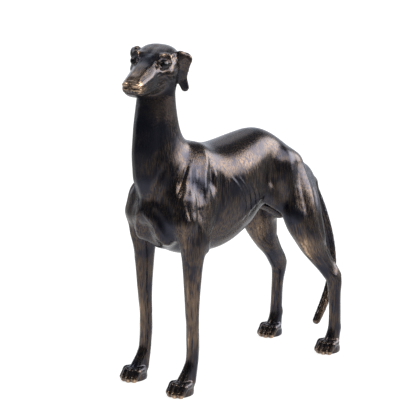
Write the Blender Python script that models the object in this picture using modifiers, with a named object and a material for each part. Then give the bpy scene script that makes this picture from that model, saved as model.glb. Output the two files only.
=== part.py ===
# Greyhound statue: one hollow casting standing on its own four paws.
# Metres, +Z up. The dog faces -Y and its left side is +X. The sizes below are
# given with the fore paws near y = 0; SHIFT then centres the footprint.
import math

import bmesh
import bpy
import numpy as np
from mathutils import Matrix

# ------------------------------------------------------------------ sizes
SHIFT = (0.0, -0.2126)
MESH_STEP = 0.0034        # spacing of the surface before it is faceted
FACETS = 9300             # triangles of the faceted casting

TORSO = [  # y, back line z, underline z, half-width, level of the widest point
    (-0.02, 0.436, 0.374, 0.034, 0.5),
    (0.0, 0.47, 0.3285, 0.05, 0.55),
    (0.033, 0.502, 0.3085, 0.06, 0.58),
    (0.066, 0.5308, 0.2955, 0.066, 0.6),
    (0.1, 0.5408, 0.2915, 0.069, 0.6),
    (0.13, 0.534, 0.2885, 0.071, 0.6),
    (0.16, 0.53, 0.2885, 0.073, 0.6),
    (0.206, 0.534, 0.2965, 0.073, 0.6),
    (0.24, 0.5395, 0.3105, 0.069, 0.6),
    (0.264, 0.543, 0.323, 0.065, 0.6),
    (0.285, 0.5455, 0.34, 0.06, 0.6),
    (0.31, 0.5442, 0.362, 0.055, 0.6),
    (0.335, 0.5362, 0.381, 0.052, 0.6),
    (0.365, 0.519, 0.385, 0.0515, 0.6),
    (0.401, 0.492, 0.38, 0.05, 0.55),
    (0.441, 0.4575, 0.372, 0.0435, 0.5),
    (0.475, 0.43, 0.37, 0.031, 0.5),
    (0.494, 0.406, 0.374, 0.02, 0.5),
]
NECK = [  # z, x, y, half-width, half-depth
    (0.385, 0.0, 0.095, 0.042, 0.06),
    (0.41, 0.0, 0.082, 0.052, 0.082),
    (0.435, 0.0, 0.066, 0.058, 0.097),
    (0.46, 0.0, 0.055, 0.058, 0.099),
    (0.5, 0.0, 0.038, 0.053, 0.089),
    (0.53, 0.0, 0.021, 0.046, 0.0745),
    (0.56, 0.0, 0.01, 0.042, 0.061),
    (0.6, 0.0, 0.0055, 0.0395, 0.0515),
    (0.65, 0.0, 0.0066, 0.0375, 0.043),
    (0.69, 0.002, 0.0106, 0.035, 0.0395),
]
FORE = [  # z, x, y, half-width, half-depth of the fore leg
    (0.03, 0.076, 0.0306, 0.0145, 0.0135),
    (0.055, 0.076, 0.0351, 0.014, 0.014),
    (0.085, 0.0762, 0.0394, 0.014, 0.0138),
    (0.115, 0.0752, 0.0408, 0.0145, 0.0141),
    (0.145, 0.075, 0.0408, 0.0142, 0.0139),
    (0.178, 0.0755, 0.0391, 0.0148, 0.0153),
    (0.217, 0.0762, 0.0386, 0.016, 0.0181),
    (0.25, 0.0765, 0.0391, 0.018, 0.0205),
    (0.28, 0.0768, 0.0396, 0.02, 0.0232),
    (0.31, 0.0774, 0.0401, 0.0222, 0.028),
    (0.345, 0.075, 0.0391, 0.025, 0.035),
    (0.38, 0.069, 0.0396, 0.026, 0.04),
    (0.41, 0.062, 0.0406, 0.024, 0.038),
]
HIND = [  # z, x, y, half-width, half-depth of the hind leg
    (0.03, 0.0935, 0.4829, 0.0145, 0.0163),
    (0.06, 0.0945, 0.4858, 0.0135, 0.0154),
    (0.085, 0.0942, 0.487, 0.0132, 0.0146),
    (0.107, 0.0935, 0.4872, 0.0132, 0.0144),
    (0.14, 0.0915, 0.4881, 0.0138, 0.0154),
    (0.165, 0.0893, 0.489, 0.0148, 0.02),
    (0.185, 0.0865, 0.4801, 0.0148, 0.0248),
    (0.205, 0.0825, 0.4661, 0.0152, 0.0278),
    (0.225, 0.0803, 0.4485, 0.0172, 0.03),
    (0.25, 0.0785, 0.43, 0.0212, 0.035),
    (0.28, 0.0775, 0.4155, 0.0262, 0.044),
    (0.31, 0.074, 0.403, 0.0302, 0.0515),
    (0.345, 0.069, 0.3955, 0.0325, 0.0545),
    (0.38, 0.06, 0.395, 0.033, 0.052),
    (0.42, 0.048, 0.383, 0.031, 0.048),
    (0.46, 0.035, 0.368, 0.027, 0.038),
]
TAIL = [  # step from root to tip, x, y, z, radius
    (0.0, 0.0, 0.474, 0.412, 0.0185),
    (1, 0.002, 0.503, 0.375, 0.0145),
    (2, 0.008, 0.526, 0.33, 0.0122),
    (3, 0.016, 0.539, 0.285, 0.0112),
    (4, 0.023, 0.547, 0.24, 0.0104),
    (5, 0.029, 0.548, 0.195, 0.0103),
    (6, 0.034, 0.537, 0.145, 0.0104),
    (7, 0.0368, 0.513, 0.1, 0.0105),
    (8, 0.0378, 0.4855, 0.0605, 0.0092),
]
HEAD = [  # y (the nose is at -y), top z, bottom z, half-width, level of the widest point
    (-0.139, 0.0152, -0.0155, 0.0203, 0.5),
    (-0.13, 0.0192, -0.0232, 0.0231, 0.5),
    (-0.11, 0.0227, -0.0292, 0.0254, 0.5),
    (-0.085, 0.0267, -0.036, 0.0284, 0.5),
    (-0.06, 0.03, -0.041, 0.03, 0.5),
    (-0.04, 0.035, -0.046, 0.0365, 0.52),
    (-0.02, 0.0397, -0.049, 0.043, 0.54),
    (0.0, 0.0422, -0.049, 0.0465, 0.55),
    (0.025, 0.0407, -0.044, 0.045, 0.55),
    (0.05, 0.0292, -0.033, 0.035, 0.5),
    (0.062, 0.016, -0.02, 0.02, 0.5),
]
HEAD_CENTRE = (0.004, 0.0015, 0.7155)
HEAD_TURN = (26.0, 11.5, 4.0)     # degrees: to the left, nose down, tilted
EAR_LINE = [(0.038, 0.012, 0.018), (0.048, 0.020, 0.018), (0.0565, 0.028, 0.011), (0.0500, 0.032, -0.012),
            (0.0442, 0.033, -0.034), (0.0495, 0.033, -0.0595)]
EAR_RADII = [0.0110, 0.0135, 0.0152, 0.0132, 0.0098, 0.0066]
EAR_FLAT = 0.42
BRIDGE_EDGE = [  # y, distance of the bevel beside the bridge from the head's axis
    (-0.150, 0.0178),
    (-0.1265, 0.0203),
    (-0.100, 0.0232),
    (-0.0715, 0.0272),
    (-0.0455, 0.0330),
    (-0.025, 0.0470),
    (0.000, 0.0800),
]
EAR_FACE = (0.50, -0.85, 0.12)    # the side of the flap that looks out
PAW_FORE = (0.0755, 0.003)
PAW_HIND = (0.0935, 0.465)
TOES = ((-0.0174, 0.0095), (-0.0063, 0.002), (0.0063, 0.002), (0.0174, 0.0095))

HEAD_CARVING = [  # in the head's own axes
    (0.0060, -0.0020, [(0.000, -0.036, 0.040), (0.000, -0.010, 0.046), (0.000, 0.015, 0.047)]),       # forehead furrow
    (0.0050, -0.0024, [(0.013, -0.043, 0.034), (0.022, -0.049, 0.026), (0.025, -0.056, 0.014)]),      # inner corner of the eye
    (0.0060, 0.0016, [(0.018, -0.024, 0.041), (0.028, -0.030, 0.040), (0.038, -0.028, 0.036)]),       # brow
    (0.0070, -0.0022, [(0.046, -0.020, 0.027), (0.047, 0.000, 0.022)]),                               # temple
    (0.0040, -0.0022, [(0.020, -0.126, -0.013), (0.0255, -0.090, -0.017), (0.031, -0.062, -0.017), (0.038, -0.044, -0.014)]),  # mouth
    (0.0060, -0.0016, [(0.034, -0.060, -0.004), (0.046, -0.034, -0.014), (0.047, -0.010, -0.030)]),   # under the cheek bone
]

# Carving strokes: width, height (raised) or depth (negative), then the line they follow.
# They are given for the left side and mirrored.
CARVING = [
    (0.0075, 0.0026, [(0.046, 0.100, 0.522), (0.064, 0.096, 0.506), (0.076, 0.082, 0.479), (0.080, 0.069, 0.438)]),      # rim of the blade
    (0.0065, -0.0028, [(0.066, 0.112, 0.505), (0.075, 0.097, 0.454), (0.076, 0.090, 0.395)]),                            # behind it
    (0.0075, 0.0035, [(0.064, 0.112, 0.494), (0.071, 0.117, 0.462), (0.072, 0.116, 0.428), (0.076, 0.106, 0.384), (0.085, 0.085, 0.345)]),  # triceps edge
    (0.0070, -0.0035, [(0.070, 0.131, 0.475), (0.072, 0.131, 0.430), (0.072, 0.125, 0.385), (0.068, 0.105, 0.340)]),     # shoulder to ribs
    (0.0060, 0.0022, [(0.052, 0.035, 0.504), (0.056, 0.0165, 0.474), (0.064, 0.000, 0.446)]),
    (0.0055, -0.0022, [(0.054, 0.046, 0.505), (0.062, 0.022, 0.468), (0.074, -0.002, 0.435)]),
    (0.0065, 0.0032, [(0.055, 0.054, 0.504), (0.068, 0.027, 0.464), (0.083, 0.006, 0.428), (0.088, 0.008, 0.385), (0.086, 0.010, 0.345), (0.081, 0.016, 0.300)]),
    (0.0070, -0.0026, [(0.066, 0.064, 0.478), (0.080, 0.042, 0.430), (0.093, 0.036, 0.390), (0.096, 0.034, 0.345)]),
    (0.0065, 0.0036, [(0.006, -0.038, 0.404), (0.022, -0.031, 0.388), (0.031, -0.012, 0.358), (0.037, 0.008, 0.336)]),  # breast edge
    (0.0085, -0.0034, [(0.026, -0.034, 0.418), (0.043, -0.018, 0.385), (0.050, 0.000, 0.355)]),   # breast to shoulder
    (0.0065, -0.0030, [(0.036, -0.010, 0.505), (0.027, -0.028, 0.455), (0.012, -0.037, 0.415)]),                         # base of the neck
    (0.0070, -0.0020, [(0.034, -0.015, 0.630), (0.037, -0.020, 0.560), (0.034, -0.024, 0.505)]),                         # jugular groove
    (0.0050, 0.0022, [(0.000, -0.047, 0.640), (0.000, -0.054, 0.570), (0.000, -0.058, 0.500), (0.000, -0.049, 0.440)]),  # throat keel
    (0.0060, 0.0016, [(0.058, 0.290, 0.408), (0.066, 0.250, 0.385), (0.069, 0.206, 0.360), (0.062, 0.160, 0.335)]),      # edge of the ribs
    (0.0120, 0.0035, [(0.050, 0.346, 0.500), (0.054, 0.356, 0.494)]),                                                    # hip bone
    (0.0100, 0.0032, [(0.054, 0.355, 0.494), (0.070, 0.352, 0.440), (0.080, 0.350, 0.385), (0.088, 0.352, 0.340)]),      # front of the thigh
    (0.0080, -0.0028, [(0.060, 0.380, 0.478), (0.080, 0.378, 0.420), (0.094, 0.382, 0.350), (0.096, 0.390, 0.310)]),
    (0.0180, -0.0030, [(0.056, 0.318, 0.480), (0.058, 0.308, 0.443), (0.058, 0.300, 0.415)]),                            # hollow of the flank
    (0.0070, 0.0022, [(0.045, 0.398, 0.474), (0.064, 0.402, 0.440), (0.083, 0.404, 0.400), (0.098, 0.404, 0.350)]),
    (0.0055, -0.0028, [(0.085, 0.418, 0.400), (0.100, 0.418, 0.345), (0.098, 0.432, 0.290), (0.092, 0.452, 0.255)]),     # hamstring
    (0.0120, 0.0022, [(0.084, 0.347, 0.336), (0.086, 0.349, 0.332)]),                                                    # knee
    (0.0050, 0.0022, [(0.082, 0.360, 0.315), (0.082, 0.385, 0.280), (0.081, 0.412, 0.248), (0.083, 0.440, 0.222)]),      # shin
    (0.0060, -0.0034, [(0.093, 0.446, 0.268), (0.094, 0.468, 0.235), (0.096, 0.488, 0.205)]),                            # above the hock
    (0.0060, -0.0030, [(0.063, 0.448, 0.262), (0.068, 0.468, 0.235), (0.074, 0.488, 0.205)]),
    (0.0060, 0.0020, [(0.098, 0.482, 0.186), (0.098, 0.480, 0.180)]),                                                    # ankle bone
    (0.0040, -0.0014, [(0.096, 0.040, 0.305), (0.094, 0.040, 0.250), (0.090, 0.042, 0.200)]),                            # forearm
    (0.0080, 0.0012, [(0.078, 0.027, 0.128), (0.076, 0.027, 0.116)]),                                                    # wrist
    (0.0065, 0.0032, [(0.077, 0.052, 0.100), (0.077, 0.051, 0.094)]),                                                    # wrist pad
]

# ------------------------------------------------------------------ form
def spline(rows):
    """Smooth curve through a table whose first column is the station."""
    table = np.array(rows, float)
    s, v = table[:, 0], table[:, 1:]
    h = np.diff(s)[:, None]
    d = np.diff(v, axis=0) / h
    m = np.zeros_like(v)
    m[0], m[-1] = d[0], d[-1]
    m[1:-1] = (h[1:] * d[:-1] + h[:-1] * d[1:]) / (h[1:] + h[:-1])
    m[1:-1][d[:-1] * d[1:] <= 0] *= 0.35

    def value(x):
        x = np.clip(x, s[0], s[-1])
        k = np.clip(np.searchsorted(s, x, side="right") - 1, 0, len(s) - 2)
        w = (s[k + 1] - s[k])[:, None]
        u = (x - s[k])[:, None] / w
        return (v[k] * (2 * u**3 - 3 * u**2 + 1) + m[k] * w * (u**3 - 2 * u**2 + u)
                + v[k + 1] * (3 * u**2 - 2 * u**3) + m[k + 1] * w * (u**3 - u**2))
    return value


def blend(a, b, k):
    """Union of two distances with a fillet of about k."""
    h = np.maximum(k - np.abs(a - b), 0.0) / k
    return np.minimum(a, b) - h**3 * k / 6.0


def hollow(a, b, k):
    return -blend(-a, b, k)


def oval(u, v, w, a, b, c, n=2.0):
    """Distance to an oval section (or ball) with half sizes a, b, c."""
    q = ((np.abs(u) / a) ** n + (np.abs(v) / b) ** n) ** (2.0 / n) + (w / c) ** 2
    k0 = np.sqrt(q + 1e-12)
    k1 = np.sqrt((u / a**2) ** 2 + (v / b**2) ** 2 + (w / c**2) ** 2 + 1e-9)
    return k0 * (k0 - 1.0) / k1


def turned(yaw, pitch, roll):
    """Axes of the head: turned to the left, nose down, tilted."""
    return np.array(Matrix.Rotation(yaw, 3, "Z") @ Matrix.Rotation(pitch, 3, "X") @ Matrix.Rotation(roll, 3, "Y"))


class Upright:
    """Oval sections stacked along Z: rows z, x, y, half-width, half-depth."""

    def __init__(self, rows, cap, n=2.1):
        self.curve, self.lo, self.hi = spline(rows), rows[0][0], rows[-1][0]
        self.cap, self.n = cap, n

    def distance(self, p):
        z, s = p[:, 2], self.curve(p[:, 2])
        over = z - np.clip(z, self.lo, self.hi)
        return oval(p[:, 0] - s[:, 0], p[:, 1] - s[:, 1], over, s[:, 2], s[:, 3], self.cap, self.n)

    def rings(self, count=26):
        for z in np.linspace(self.lo - 0.7 * self.cap, self.hi + 0.7 * self.cap, count):
            s = self.curve(np.array([z]))[0]
            g = math.sqrt(1 - ((z - min(max(z, self.lo), self.hi)) / self.cap) ** 2)
            yield [(s[0] + g * s[2] * math.cos(t), s[1] + g * s[3] * math.sin(t), z) for t in TURN]


class Lying:
    """Sections stacked along Y: rows y, top z, bottom z, half-width, level of the widest point."""

    def __init__(self, rows, cap, n=2.15):
        self.curve, self.lo, self.hi = spline(rows), rows[0][0], rows[-1][0]
        self.cap, self.n = cap, n

    def distance(self, p):
        y, s = p[:, 1], self.curve(p[:, 1])
        over = y - np.clip(y, self.lo, self.hi)
        mid = s[:, 1] + s[:, 3] * (s[:, 0] - s[:, 1])
        v = p[:, 2] - mid
        half = np.where(v > 0, s[:, 0] - mid, mid - s[:, 1])
        return oval(p[:, 0], v, over, s[:, 2], half, self.cap, self.n)

    def rings(self, count=30):
        for y in np.linspace(self.lo - 0.7 * self.cap, self.hi + 0.7 * self.cap, count):
            s = self.curve(np.array([y]))[0]
            g = math.sqrt(1 - ((y - min(max(y, self.lo), self.hi)) / self.cap) ** 2)
            mid = s[1] + s[3] * (s[0] - s[1])
            yield [(g * s[2] * math.cos(t), y,
                    mid + g * math.sin(t) * (s[0] - mid if math.sin(t) > 0 else mid - s[1])) for t in TURN]


class Rope:
    """Round chain through points; flat squashes it along the direction n."""

    def __init__(self, points, radii, k=0.004, flat=1.0, n=(0, 1, 0)):
        self.n = np.array(n, float) / np.linalg.norm(n)
        self.flat, self.k, self.radii = flat, k, radii
        points = np.array(points, float)
        self.foot = points[len(points) // 2 - 1]
        self.points = self.stretch(points)

    def stretch(self, q):
        return q + (1.0 / self.flat - 1.0) * ((q - self.foot) @ self.n)[:, None] * self.n

    def distance(self, p):
        p = self.stretch(p)
        out = None
        for a, b, ra, rb in zip(self.points[:-1], self.points[1:], self.radii[:-1], self.radii[1:]):
            d = b - a
            t = np.clip(((p - a) @ d) / (d @ d), 0, 1)
            q = p - a - t[:, None] * d
            f = np.sqrt((q * q).sum(1) + 1e-12) - (ra + (rb - ra) * t)
            out = f if out is None else blend(out, f, self.k)
        return out * (1.0 if self.flat == 1.0 else 0.62)

    def rings(self):
        way = [self.points[1] - self.points[0]] + [b - a for a, b in zip(self.points[:-1], self.points[1:])]
        side = np.cross(way[0], (0.31, 0.17, 0.93))
        stations = [(self.points[0], way[1], self.radii[0], -0.8)]
        for i, c in enumerate(self.points):
            ahead = way[min(i + 1, len(way) - 1)]
            d = way[i] / np.linalg.norm(way[i]) + ahead / np.linalg.norm(ahead)
            stations.append((c, d, self.radii[i], 0.0))
        stations.append((self.points[-1], way[-1], self.radii[-1], 0.8))
        for c, d, r, end in stations:
            d = d / np.linalg.norm(d)
            u = side - (side @ d) * d
            u /= np.linalg.norm(u)
            v = np.cross(d, u)
            side = u
            g = math.sqrt(1 - end * end)
            ring = np.array([c + end * r * d + g * r * (math.cos(t) * u + math.sin(t) * v) for t in TURN])
            yield ring - (1 - self.flat) * ((ring - self.foot) @ self.n)[:, None] * self.n


class Ball:
    """Ellipsoid; lean (degrees about X) then swing (degrees about Z) turn its axes."""

    def __init__(self, centre, half, lean=0.0, swing=0.0):
        self.c, self.h = np.array(centre), half
        self.axes = np.array(Matrix.Rotation(math.radians(swing), 3, "Z") @ Matrix.Rotation(math.radians(lean), 3, "X"))

    def distance(self, p):
        q = (p - self.c) @ self.axes
        return oval(q[:, 0], q[:, 1], q[:, 2], *self.h)

    def rings(self, count=9):
        for w in np.linspace(-0.97, 0.97, count):
            g = math.sqrt(1 - w * w)
            yield [self.c + self.axes @ np.array((g * self.h[0] * math.cos(t), g * self.h[1] * math.sin(t),
                                                  w * self.h[2])) for t in TURN]


# ------------------------------------------------------------------ the dog
TURN = [2 * math.pi * i / 20 for i in range(20)]
HEAD_AXES = turned(*(math.radians(a) for a in HEAD_TURN))
TAIL_LINE = spline(TAIL)(np.linspace(0, 8, 25))
EDGE = spline(BRIDGE_EDGE)

# Each entry: shape, fillet, mirrored to the right side as well.
BODY = [
    (Lying(TORSO, 0.018), 0.0, False),
    (Upright(NECK, 0.02), 0.034, False),
    (Rope([(0.036, 0.098, 0.510), (0.054, 0.062, 0.462), (0.066, 0.030, 0.424)],
          [0.0220, 0.0310, 0.0310], 0.012, 0.60, (0.93, -0.10, 0.35)), 0.034, True),           # shoulder blade
    (Rope([(0.064, 0.026, 0.424), (0.070, 0.022, 0.385), (0.076, 0.060, 0.338)],
          [0.0255, 0.0285, 0.0200], 0.012), 0.030, True),                                      # upper arm
    (Ball((0.071, 0.074, 0.388), (0.018, 0.034, 0.062), -18.0), 0.024, True),                  # triceps
    (Rope([(0.078, 0.069, 0.331), (0.079, 0.0725, 0.318)], [0.0128, 0.0107]), 0.021, True),     # elbow
    (Ball((0.030, 0.004, 0.374), (0.030, 0.028, 0.044)), 0.030, True),                         # breast
    (Upright(FORE, 0.02), 0.022, True),
    (Upright(HIND, 0.02), 0.026, True),
    (Ball((0.044, 0.360, 0.443), (0.027, 0.052, 0.050)), 0.030, True),                         # haunch
    (Ball((0.040, 0.427, 0.378), (0.0292, 0.0370, 0.0680)), 0.030, True),                         # buttock
    (Ball((0.050, 0.318, 0.388), (0.009, 0.050, 0.020), -38.0), 0.028, True),                  # flank fold
    (Rope([(0.0, 0.300, 0.372), (0.0, 0.345, 0.360), (0.0, 0.394, 0.336)],
          [0.0100, 0.0125, 0.0165], 0.006), 0.018, False),                                     # sheath
    (Rope([(0.0875, 0.5005, 0.181), (0.080, 0.458, 0.246)], [0.0086, 0.0112]), 0.012, True),    # heel cord
    (Rope(TAIL_LINE[:, :3], TAIL_LINE[:, 3], 0.003), 0.020, False),
]
SKULL = [
    (Lying(HEAD, 0.006, 2.5), 0.0),
    (Ball((0.037, -0.006, -0.002), (0.014, 0.030, 0.016)), 0.014),      # cheek bone
    (Ball((0.0330, -0.024, 0.0264), (0.0138, 0.015, 0.0125)), 0.010),   # brow
    (Ball((0.026, 0.012, -0.036), (0.014, 0.026, 0.018)), 0.016),       # jaw
    (Ball((0.0, -0.139, 0.0030), (0.0186, 0.0105, 0.0130)), 0.004),     # nose
]
SOCKET = Ball((0.0395, -0.0400, 0.0205), (0.0080, 0.0110, 0.0068))
EYE = Ball((0.0322, -0.0352, 0.0200), (0.0103, 0.0103, 0.0088))
EAR = Rope(EAR_LINE, EAR_RADII, 0.004, EAR_FLAT, EAR_FACE)
EAR_CUP = Rope([np.array(p) + 0.0078 * np.array(EAR_FACE) / np.linalg.norm(EAR_FACE) + (0.0, 0.0, -0.006)
                for p in EAR_LINE[2:5]], [0.0088, 0.0080, 0.0050], 0.004, EAR_FLAT, EAR_FACE)
PAW = [
    (Ball((0.0, 0.005, 0.006), (0.0214, 0.0300, 0.0222)), 0.0),
    (Rope([(0.0, 0.026, 0.055), (0.0, 0.004, 0.024)], [0.0120, 0.0135]), 0.012),
] + [
    (Rope([(0.70 * x, y + 0.004, 0.0225), (0.98 * x, y - 0.015, 0.0212), (1.03 * x, y - 0.0255, 0.0075)],
          [0.0088, 0.0093, 0.0084]), 0.0030) for x, y in TOES
]


def relief(p, strokes):
    """Height of the carving strokes at the points; each stroke fades out at its ends."""
    total = np.zeros(len(p))
    for width, height, line in strokes:
        line = np.array(line, float)
        near = np.all((p > line.min(0) - 2.6 * width) & (p < line.max(0) + 2.6 * width), 1)
        if not near.any():
            continue
        q = p[near]
        run = np.concatenate(([0], np.cumsum(np.linalg.norm(np.diff(line, axis=0), axis=1))))
        best, along = np.full(len(q), 9.0), np.zeros(len(q))
        for a, b, s0, s1 in zip(line[:-1], line[1:], run[:-1], run[1:]):
            d = b - a
            t = np.clip(((q - a) @ d) / (d @ d), 0, 1)
            r = np.linalg.norm(q - a - t[:, None] * d, axis=1)
            closer = r < best
            best = np.where(closer, r, best)
            along = np.where(closer, s0 + t * (s1 - s0), along)
        fade = np.minimum(1.0, 0.35 + np.minimum(along, run[-1] - along) / max(0.22 * run[-1], 2 * width))
        total[near] += height * fade * np.exp(-(best / width) ** 2)
    return total


def settle(points, rounds, form, reach=0.02):
    """Move points square to a surface until they lie on it."""
    step = 2e-4
    for _ in range(rounds):
        f = form(points)
        g = np.stack([(form(points + step * axis) - f) / step for axis in np.eye(3)], 1)
        points = points - np.clip(f / np.maximum((g * g).sum(1), 0.08), -reach, reach)[:, None] * g
    return points


def draped(strokes, form):
    """Lay the strokes on a surface, with points every few millimetres."""
    out = []
    for width, height, line in strokes:
        line = np.array(line, float)
        run = np.concatenate(([0], np.cumsum(np.linalg.norm(np.diff(line, axis=0), axis=1))))
        count = max(3, int(run[-1] / 0.007) + 2)
        curve = spline(np.column_stack((run, line)))
        out.append((width, height, settle(curve(np.linspace(0, run[-1], count)), 4, form)))
    return out


def body_distance(m):
    f = BODY[0][0].distance(m)
    for shape, k, _ in BODY[1:]:
        f = blend(f, shape.distance(m), k)
    return f


def skull_distance(q):
    f = SKULL[0][0].distance(q)
    for shape, k in SKULL[1:]:
        f = blend(f, shape.distance(q), k)
    bevel = 0.72 * q[:, 0] + 0.69 * q[:, 2] - EDGE(q[:, 1])[:, 0]
    return hollow(f, -bevel, 0.003)


BODY_STROKES = draped(CARVING, body_distance)
HEAD_STROKES = draped(HEAD_CARVING, skull_distance)


def head_distance(p):
    q = (p - np.array(HEAD_CENTRE)) @ HEAD_AXES
    q[:, 0] = np.abs(q[:, 0])
    f = skull_distance(q) - relief(q, HEAD_STROKES)
    f = hollow(f, SOCKET.distance(q), 0.006)
    f = blend(f, EYE.distance(q), 0.003)
    return blend(f, hollow(EAR.distance(q), EAR_CUP.distance(q), 0.003), 0.005)


def paw_distance(p, place):
    q = p - np.array((place[0], place[1], 0.0))
    f = PAW[0][0].distance(q)
    for shape, k in PAW[1:]:
        f = blend(f, shape.distance(q), k)
    return f


def dog_distance(p):
    m = p.copy()
    m[:, 0] = np.abs(m[:, 0])
    f = BODY[0][0].distance(m)
    for shape, k, both in BODY[1:]:
        f = blend(f, shape.distance(m if both else p), k)
    f = f - relief(m, BODY_STROKES)
    for place in (PAW_FORE, PAW_HIND):
        f = blend(f, paw_distance(m, place), 0.010)
    return blend(f, head_distance(p), 0.016)


def skin(bm, rings, place):
    """Loft a closed tube through rings; place carries each point to the dog."""
    rows = [[bm.verts.new(place(np.array(q))) for q in ring] for ring in rings]
    for a, b in zip(rows[:-1], rows[1:]):
        for i in range(len(a)):
            j = (i + 1) % len(a)
            bm.faces.new((a[i], a[j], b[j], b[i]))
    bm.faces.new(rows[0][::-1])
    bm.faces.new(rows[-1])


def fresh(name):
    for old in list(bpy.data.objects):
        bpy.data.objects.remove(old, do_unlink=True)
    collection = bpy.data.collections.new(name)
    bpy.context.scene.collection.children.link(collection)
    return collection


def use(obj, kind, **values):
    """Add a modifier and make its result the mesh of the object."""
    modifier = obj.modifiers.new(kind.title(), kind)
    for key, value in values.items():
        setattr(modifier, key, value)
    done = bpy.data.meshes.new_from_object(obj.evaluated_get(bpy.context.evaluated_depsgraph_get()))
    obj.modifiers.clear()
    obj.data = done


def rough_body(collection):
    bm = bmesh.new()
    sides = (1.0, -1.0)
    axes, centre = HEAD_AXES, np.array(HEAD_CENTRE)
    for shape, _, both in BODY:
        for s in sides if both else (1.0,):
            skin(bm, shape.rings(), lambda q, s=s: q * (s, 1, 1))
    for shape, _ in SKULL + [(EYE, 0), (EAR, 0)]:
        for s in sides:
            skin(bm, shape.rings(), lambda q, s=s: centre + axes @ (q * (s, 1, 1)))
    for place in (PAW_FORE, PAW_HIND):
        for shape, _ in PAW:
            for s in sides:
                skin(bm, shape.rings(), lambda q, s=s: (q + (place[0], place[1], 0.0)) * (s, 1, 1))
    bmesh.ops.recalc_face_normals(bm, faces=bm.faces)
    mesh = bpy.data.meshes.new("greyhound")
    bm.to_mesh(mesh)
    bm.free()
    obj = bpy.data.objects.new("greyhound", mesh)
    collection.objects.link(obj)
    return obj


def carve(obj):
    """Bring the united surface onto the modelled form, keeping its points evenly spread."""
    mesh = obj.data
    points = np.empty(len(mesh.vertices) * 3)
    mesh.vertices.foreach_get("co", points)
    points = points.reshape(-1, 3)
    edges = np.empty(len(mesh.edges) * 2, int)
    mesh.edges.foreach_get("vertices", edges)
    a, b = edges.reshape(-1, 2).T
    count = np.bincount(a, minlength=len(points)) + np.bincount(b, minlength=len(points))
    for rounds in (2, 2, 3):
        mean = np.zeros_like(points)
        for axis in range(3):
            mean[:, axis] = (np.bincount(a, points[b, axis], len(points))
                             + np.bincount(b, points[a, axis], len(points))) / count
        points = settle(0.45 * points + 0.55 * mean, rounds, dog_distance)
    mesh.vertices.foreach_set("co", points.ravel())
    mesh.update()


def bronze():
    material = bpy.data.materials.new("dark_bronze")
    material.use_nodes = True
    surface = material.node_tree.nodes["Principled BSDF"]
    surface.inputs["Base Color"].default_value = (0.045, 0.038, 0.036, 1.0)
    surface.inputs["Metallic"].default_value = 0.7
    surface.inputs["Roughness"].default_value = 0.35
    return material


def build():
    collection = fresh("greyhound_statue")
    guides = bpy.data.collections.new("guides")
    bpy.context.scene.collection.children.link(guides)
    dog = rough_body(collection)
    use(dog, "REMESH", mode="VOXEL", voxel_size=MESH_STEP, adaptivity=0.0)
    carve(dog)
    triangles = sum(len(f.vertices) - 2 for f in dog.data.polygons)
    use(dog, "DECIMATE", decimate_type="COLLAPSE", ratio=FACETS / triangles)

    # flat soles: everything under the ground is cut away
    bm = bmesh.new()
    bmesh.ops.create_cube(bm, size=1.0, matrix=Matrix.Translation((0, 0.2, -0.5)) @ Matrix.Diagonal((2, 2, 1, 1)))
    ground = bpy.data.objects.new("ground_cutter", bpy.data.meshes.new("ground_cutter"))
    bm.to_mesh(ground.data)
    bm.free()
    guides.objects.link(ground)
    ground.hide_render = True
    ground.display_type = "WIRE"
    bpy.context.view_layer.update()
    use(dog, "BOOLEAN", operation="DIFFERENCE", solver="EXACT", object=ground)

    dog.data.transform(Matrix.Translation((SHIFT[0], SHIFT[1], 0.0)))
    dog.data.materials.clear()
    dog.data.materials.append(bronze())
    return dog


build()
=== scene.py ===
"""Greyhound statue: fine casting relief, patinated bronze, studio light.

All sizes are in metres. The dog faces -Y, +X is its left side, and it stands on z = 0.
"""

import math

import bmesh
import bpy
import numpy as np
from mathutils import Matrix, Vector


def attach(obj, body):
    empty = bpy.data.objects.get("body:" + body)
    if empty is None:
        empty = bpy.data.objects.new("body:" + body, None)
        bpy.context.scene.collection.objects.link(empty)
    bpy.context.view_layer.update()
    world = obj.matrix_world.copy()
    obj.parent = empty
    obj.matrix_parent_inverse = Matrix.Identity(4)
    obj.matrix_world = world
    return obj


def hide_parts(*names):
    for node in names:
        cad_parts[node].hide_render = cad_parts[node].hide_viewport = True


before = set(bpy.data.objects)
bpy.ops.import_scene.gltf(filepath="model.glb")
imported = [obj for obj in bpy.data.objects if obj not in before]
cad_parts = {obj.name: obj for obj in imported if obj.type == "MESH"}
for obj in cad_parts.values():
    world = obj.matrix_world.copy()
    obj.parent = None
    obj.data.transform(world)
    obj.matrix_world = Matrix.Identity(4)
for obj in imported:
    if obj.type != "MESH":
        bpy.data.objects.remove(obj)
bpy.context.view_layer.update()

# ------------------------------------------------------------------ sizes
TORSO = [  # y, back line z, underline z, half-width, level of the widest point
    (-0.02, 0.436, 0.374, 0.034, 0.5),
    (0.0, 0.47, 0.3285, 0.05, 0.55),
    (0.033, 0.502, 0.3085, 0.06, 0.58),
    (0.066, 0.5308, 0.2955, 0.066, 0.6),
    (0.1, 0.5408, 0.2915, 0.069, 0.6),
    (0.13, 0.534, 0.2885, 0.071, 0.6),
    (0.16, 0.53, 0.2885, 0.073, 0.6),
    (0.206, 0.534, 0.2965, 0.073, 0.6),
    (0.24, 0.5395, 0.3105, 0.069, 0.6),
    (0.264, 0.543, 0.323, 0.065, 0.6),
    (0.285, 0.5455, 0.34, 0.06, 0.6),
    (0.31, 0.5442, 0.362, 0.055, 0.6),
    (0.335, 0.5362, 0.381, 0.052, 0.6),
    (0.365, 0.519, 0.385, 0.0515, 0.6),
    (0.401, 0.492, 0.38, 0.05, 0.55),
    (0.441, 0.4575, 0.372, 0.0435, 0.5),
    (0.475, 0.43, 0.37, 0.031, 0.5),
    (0.494, 0.406, 0.374, 0.02, 0.5),
]
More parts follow.
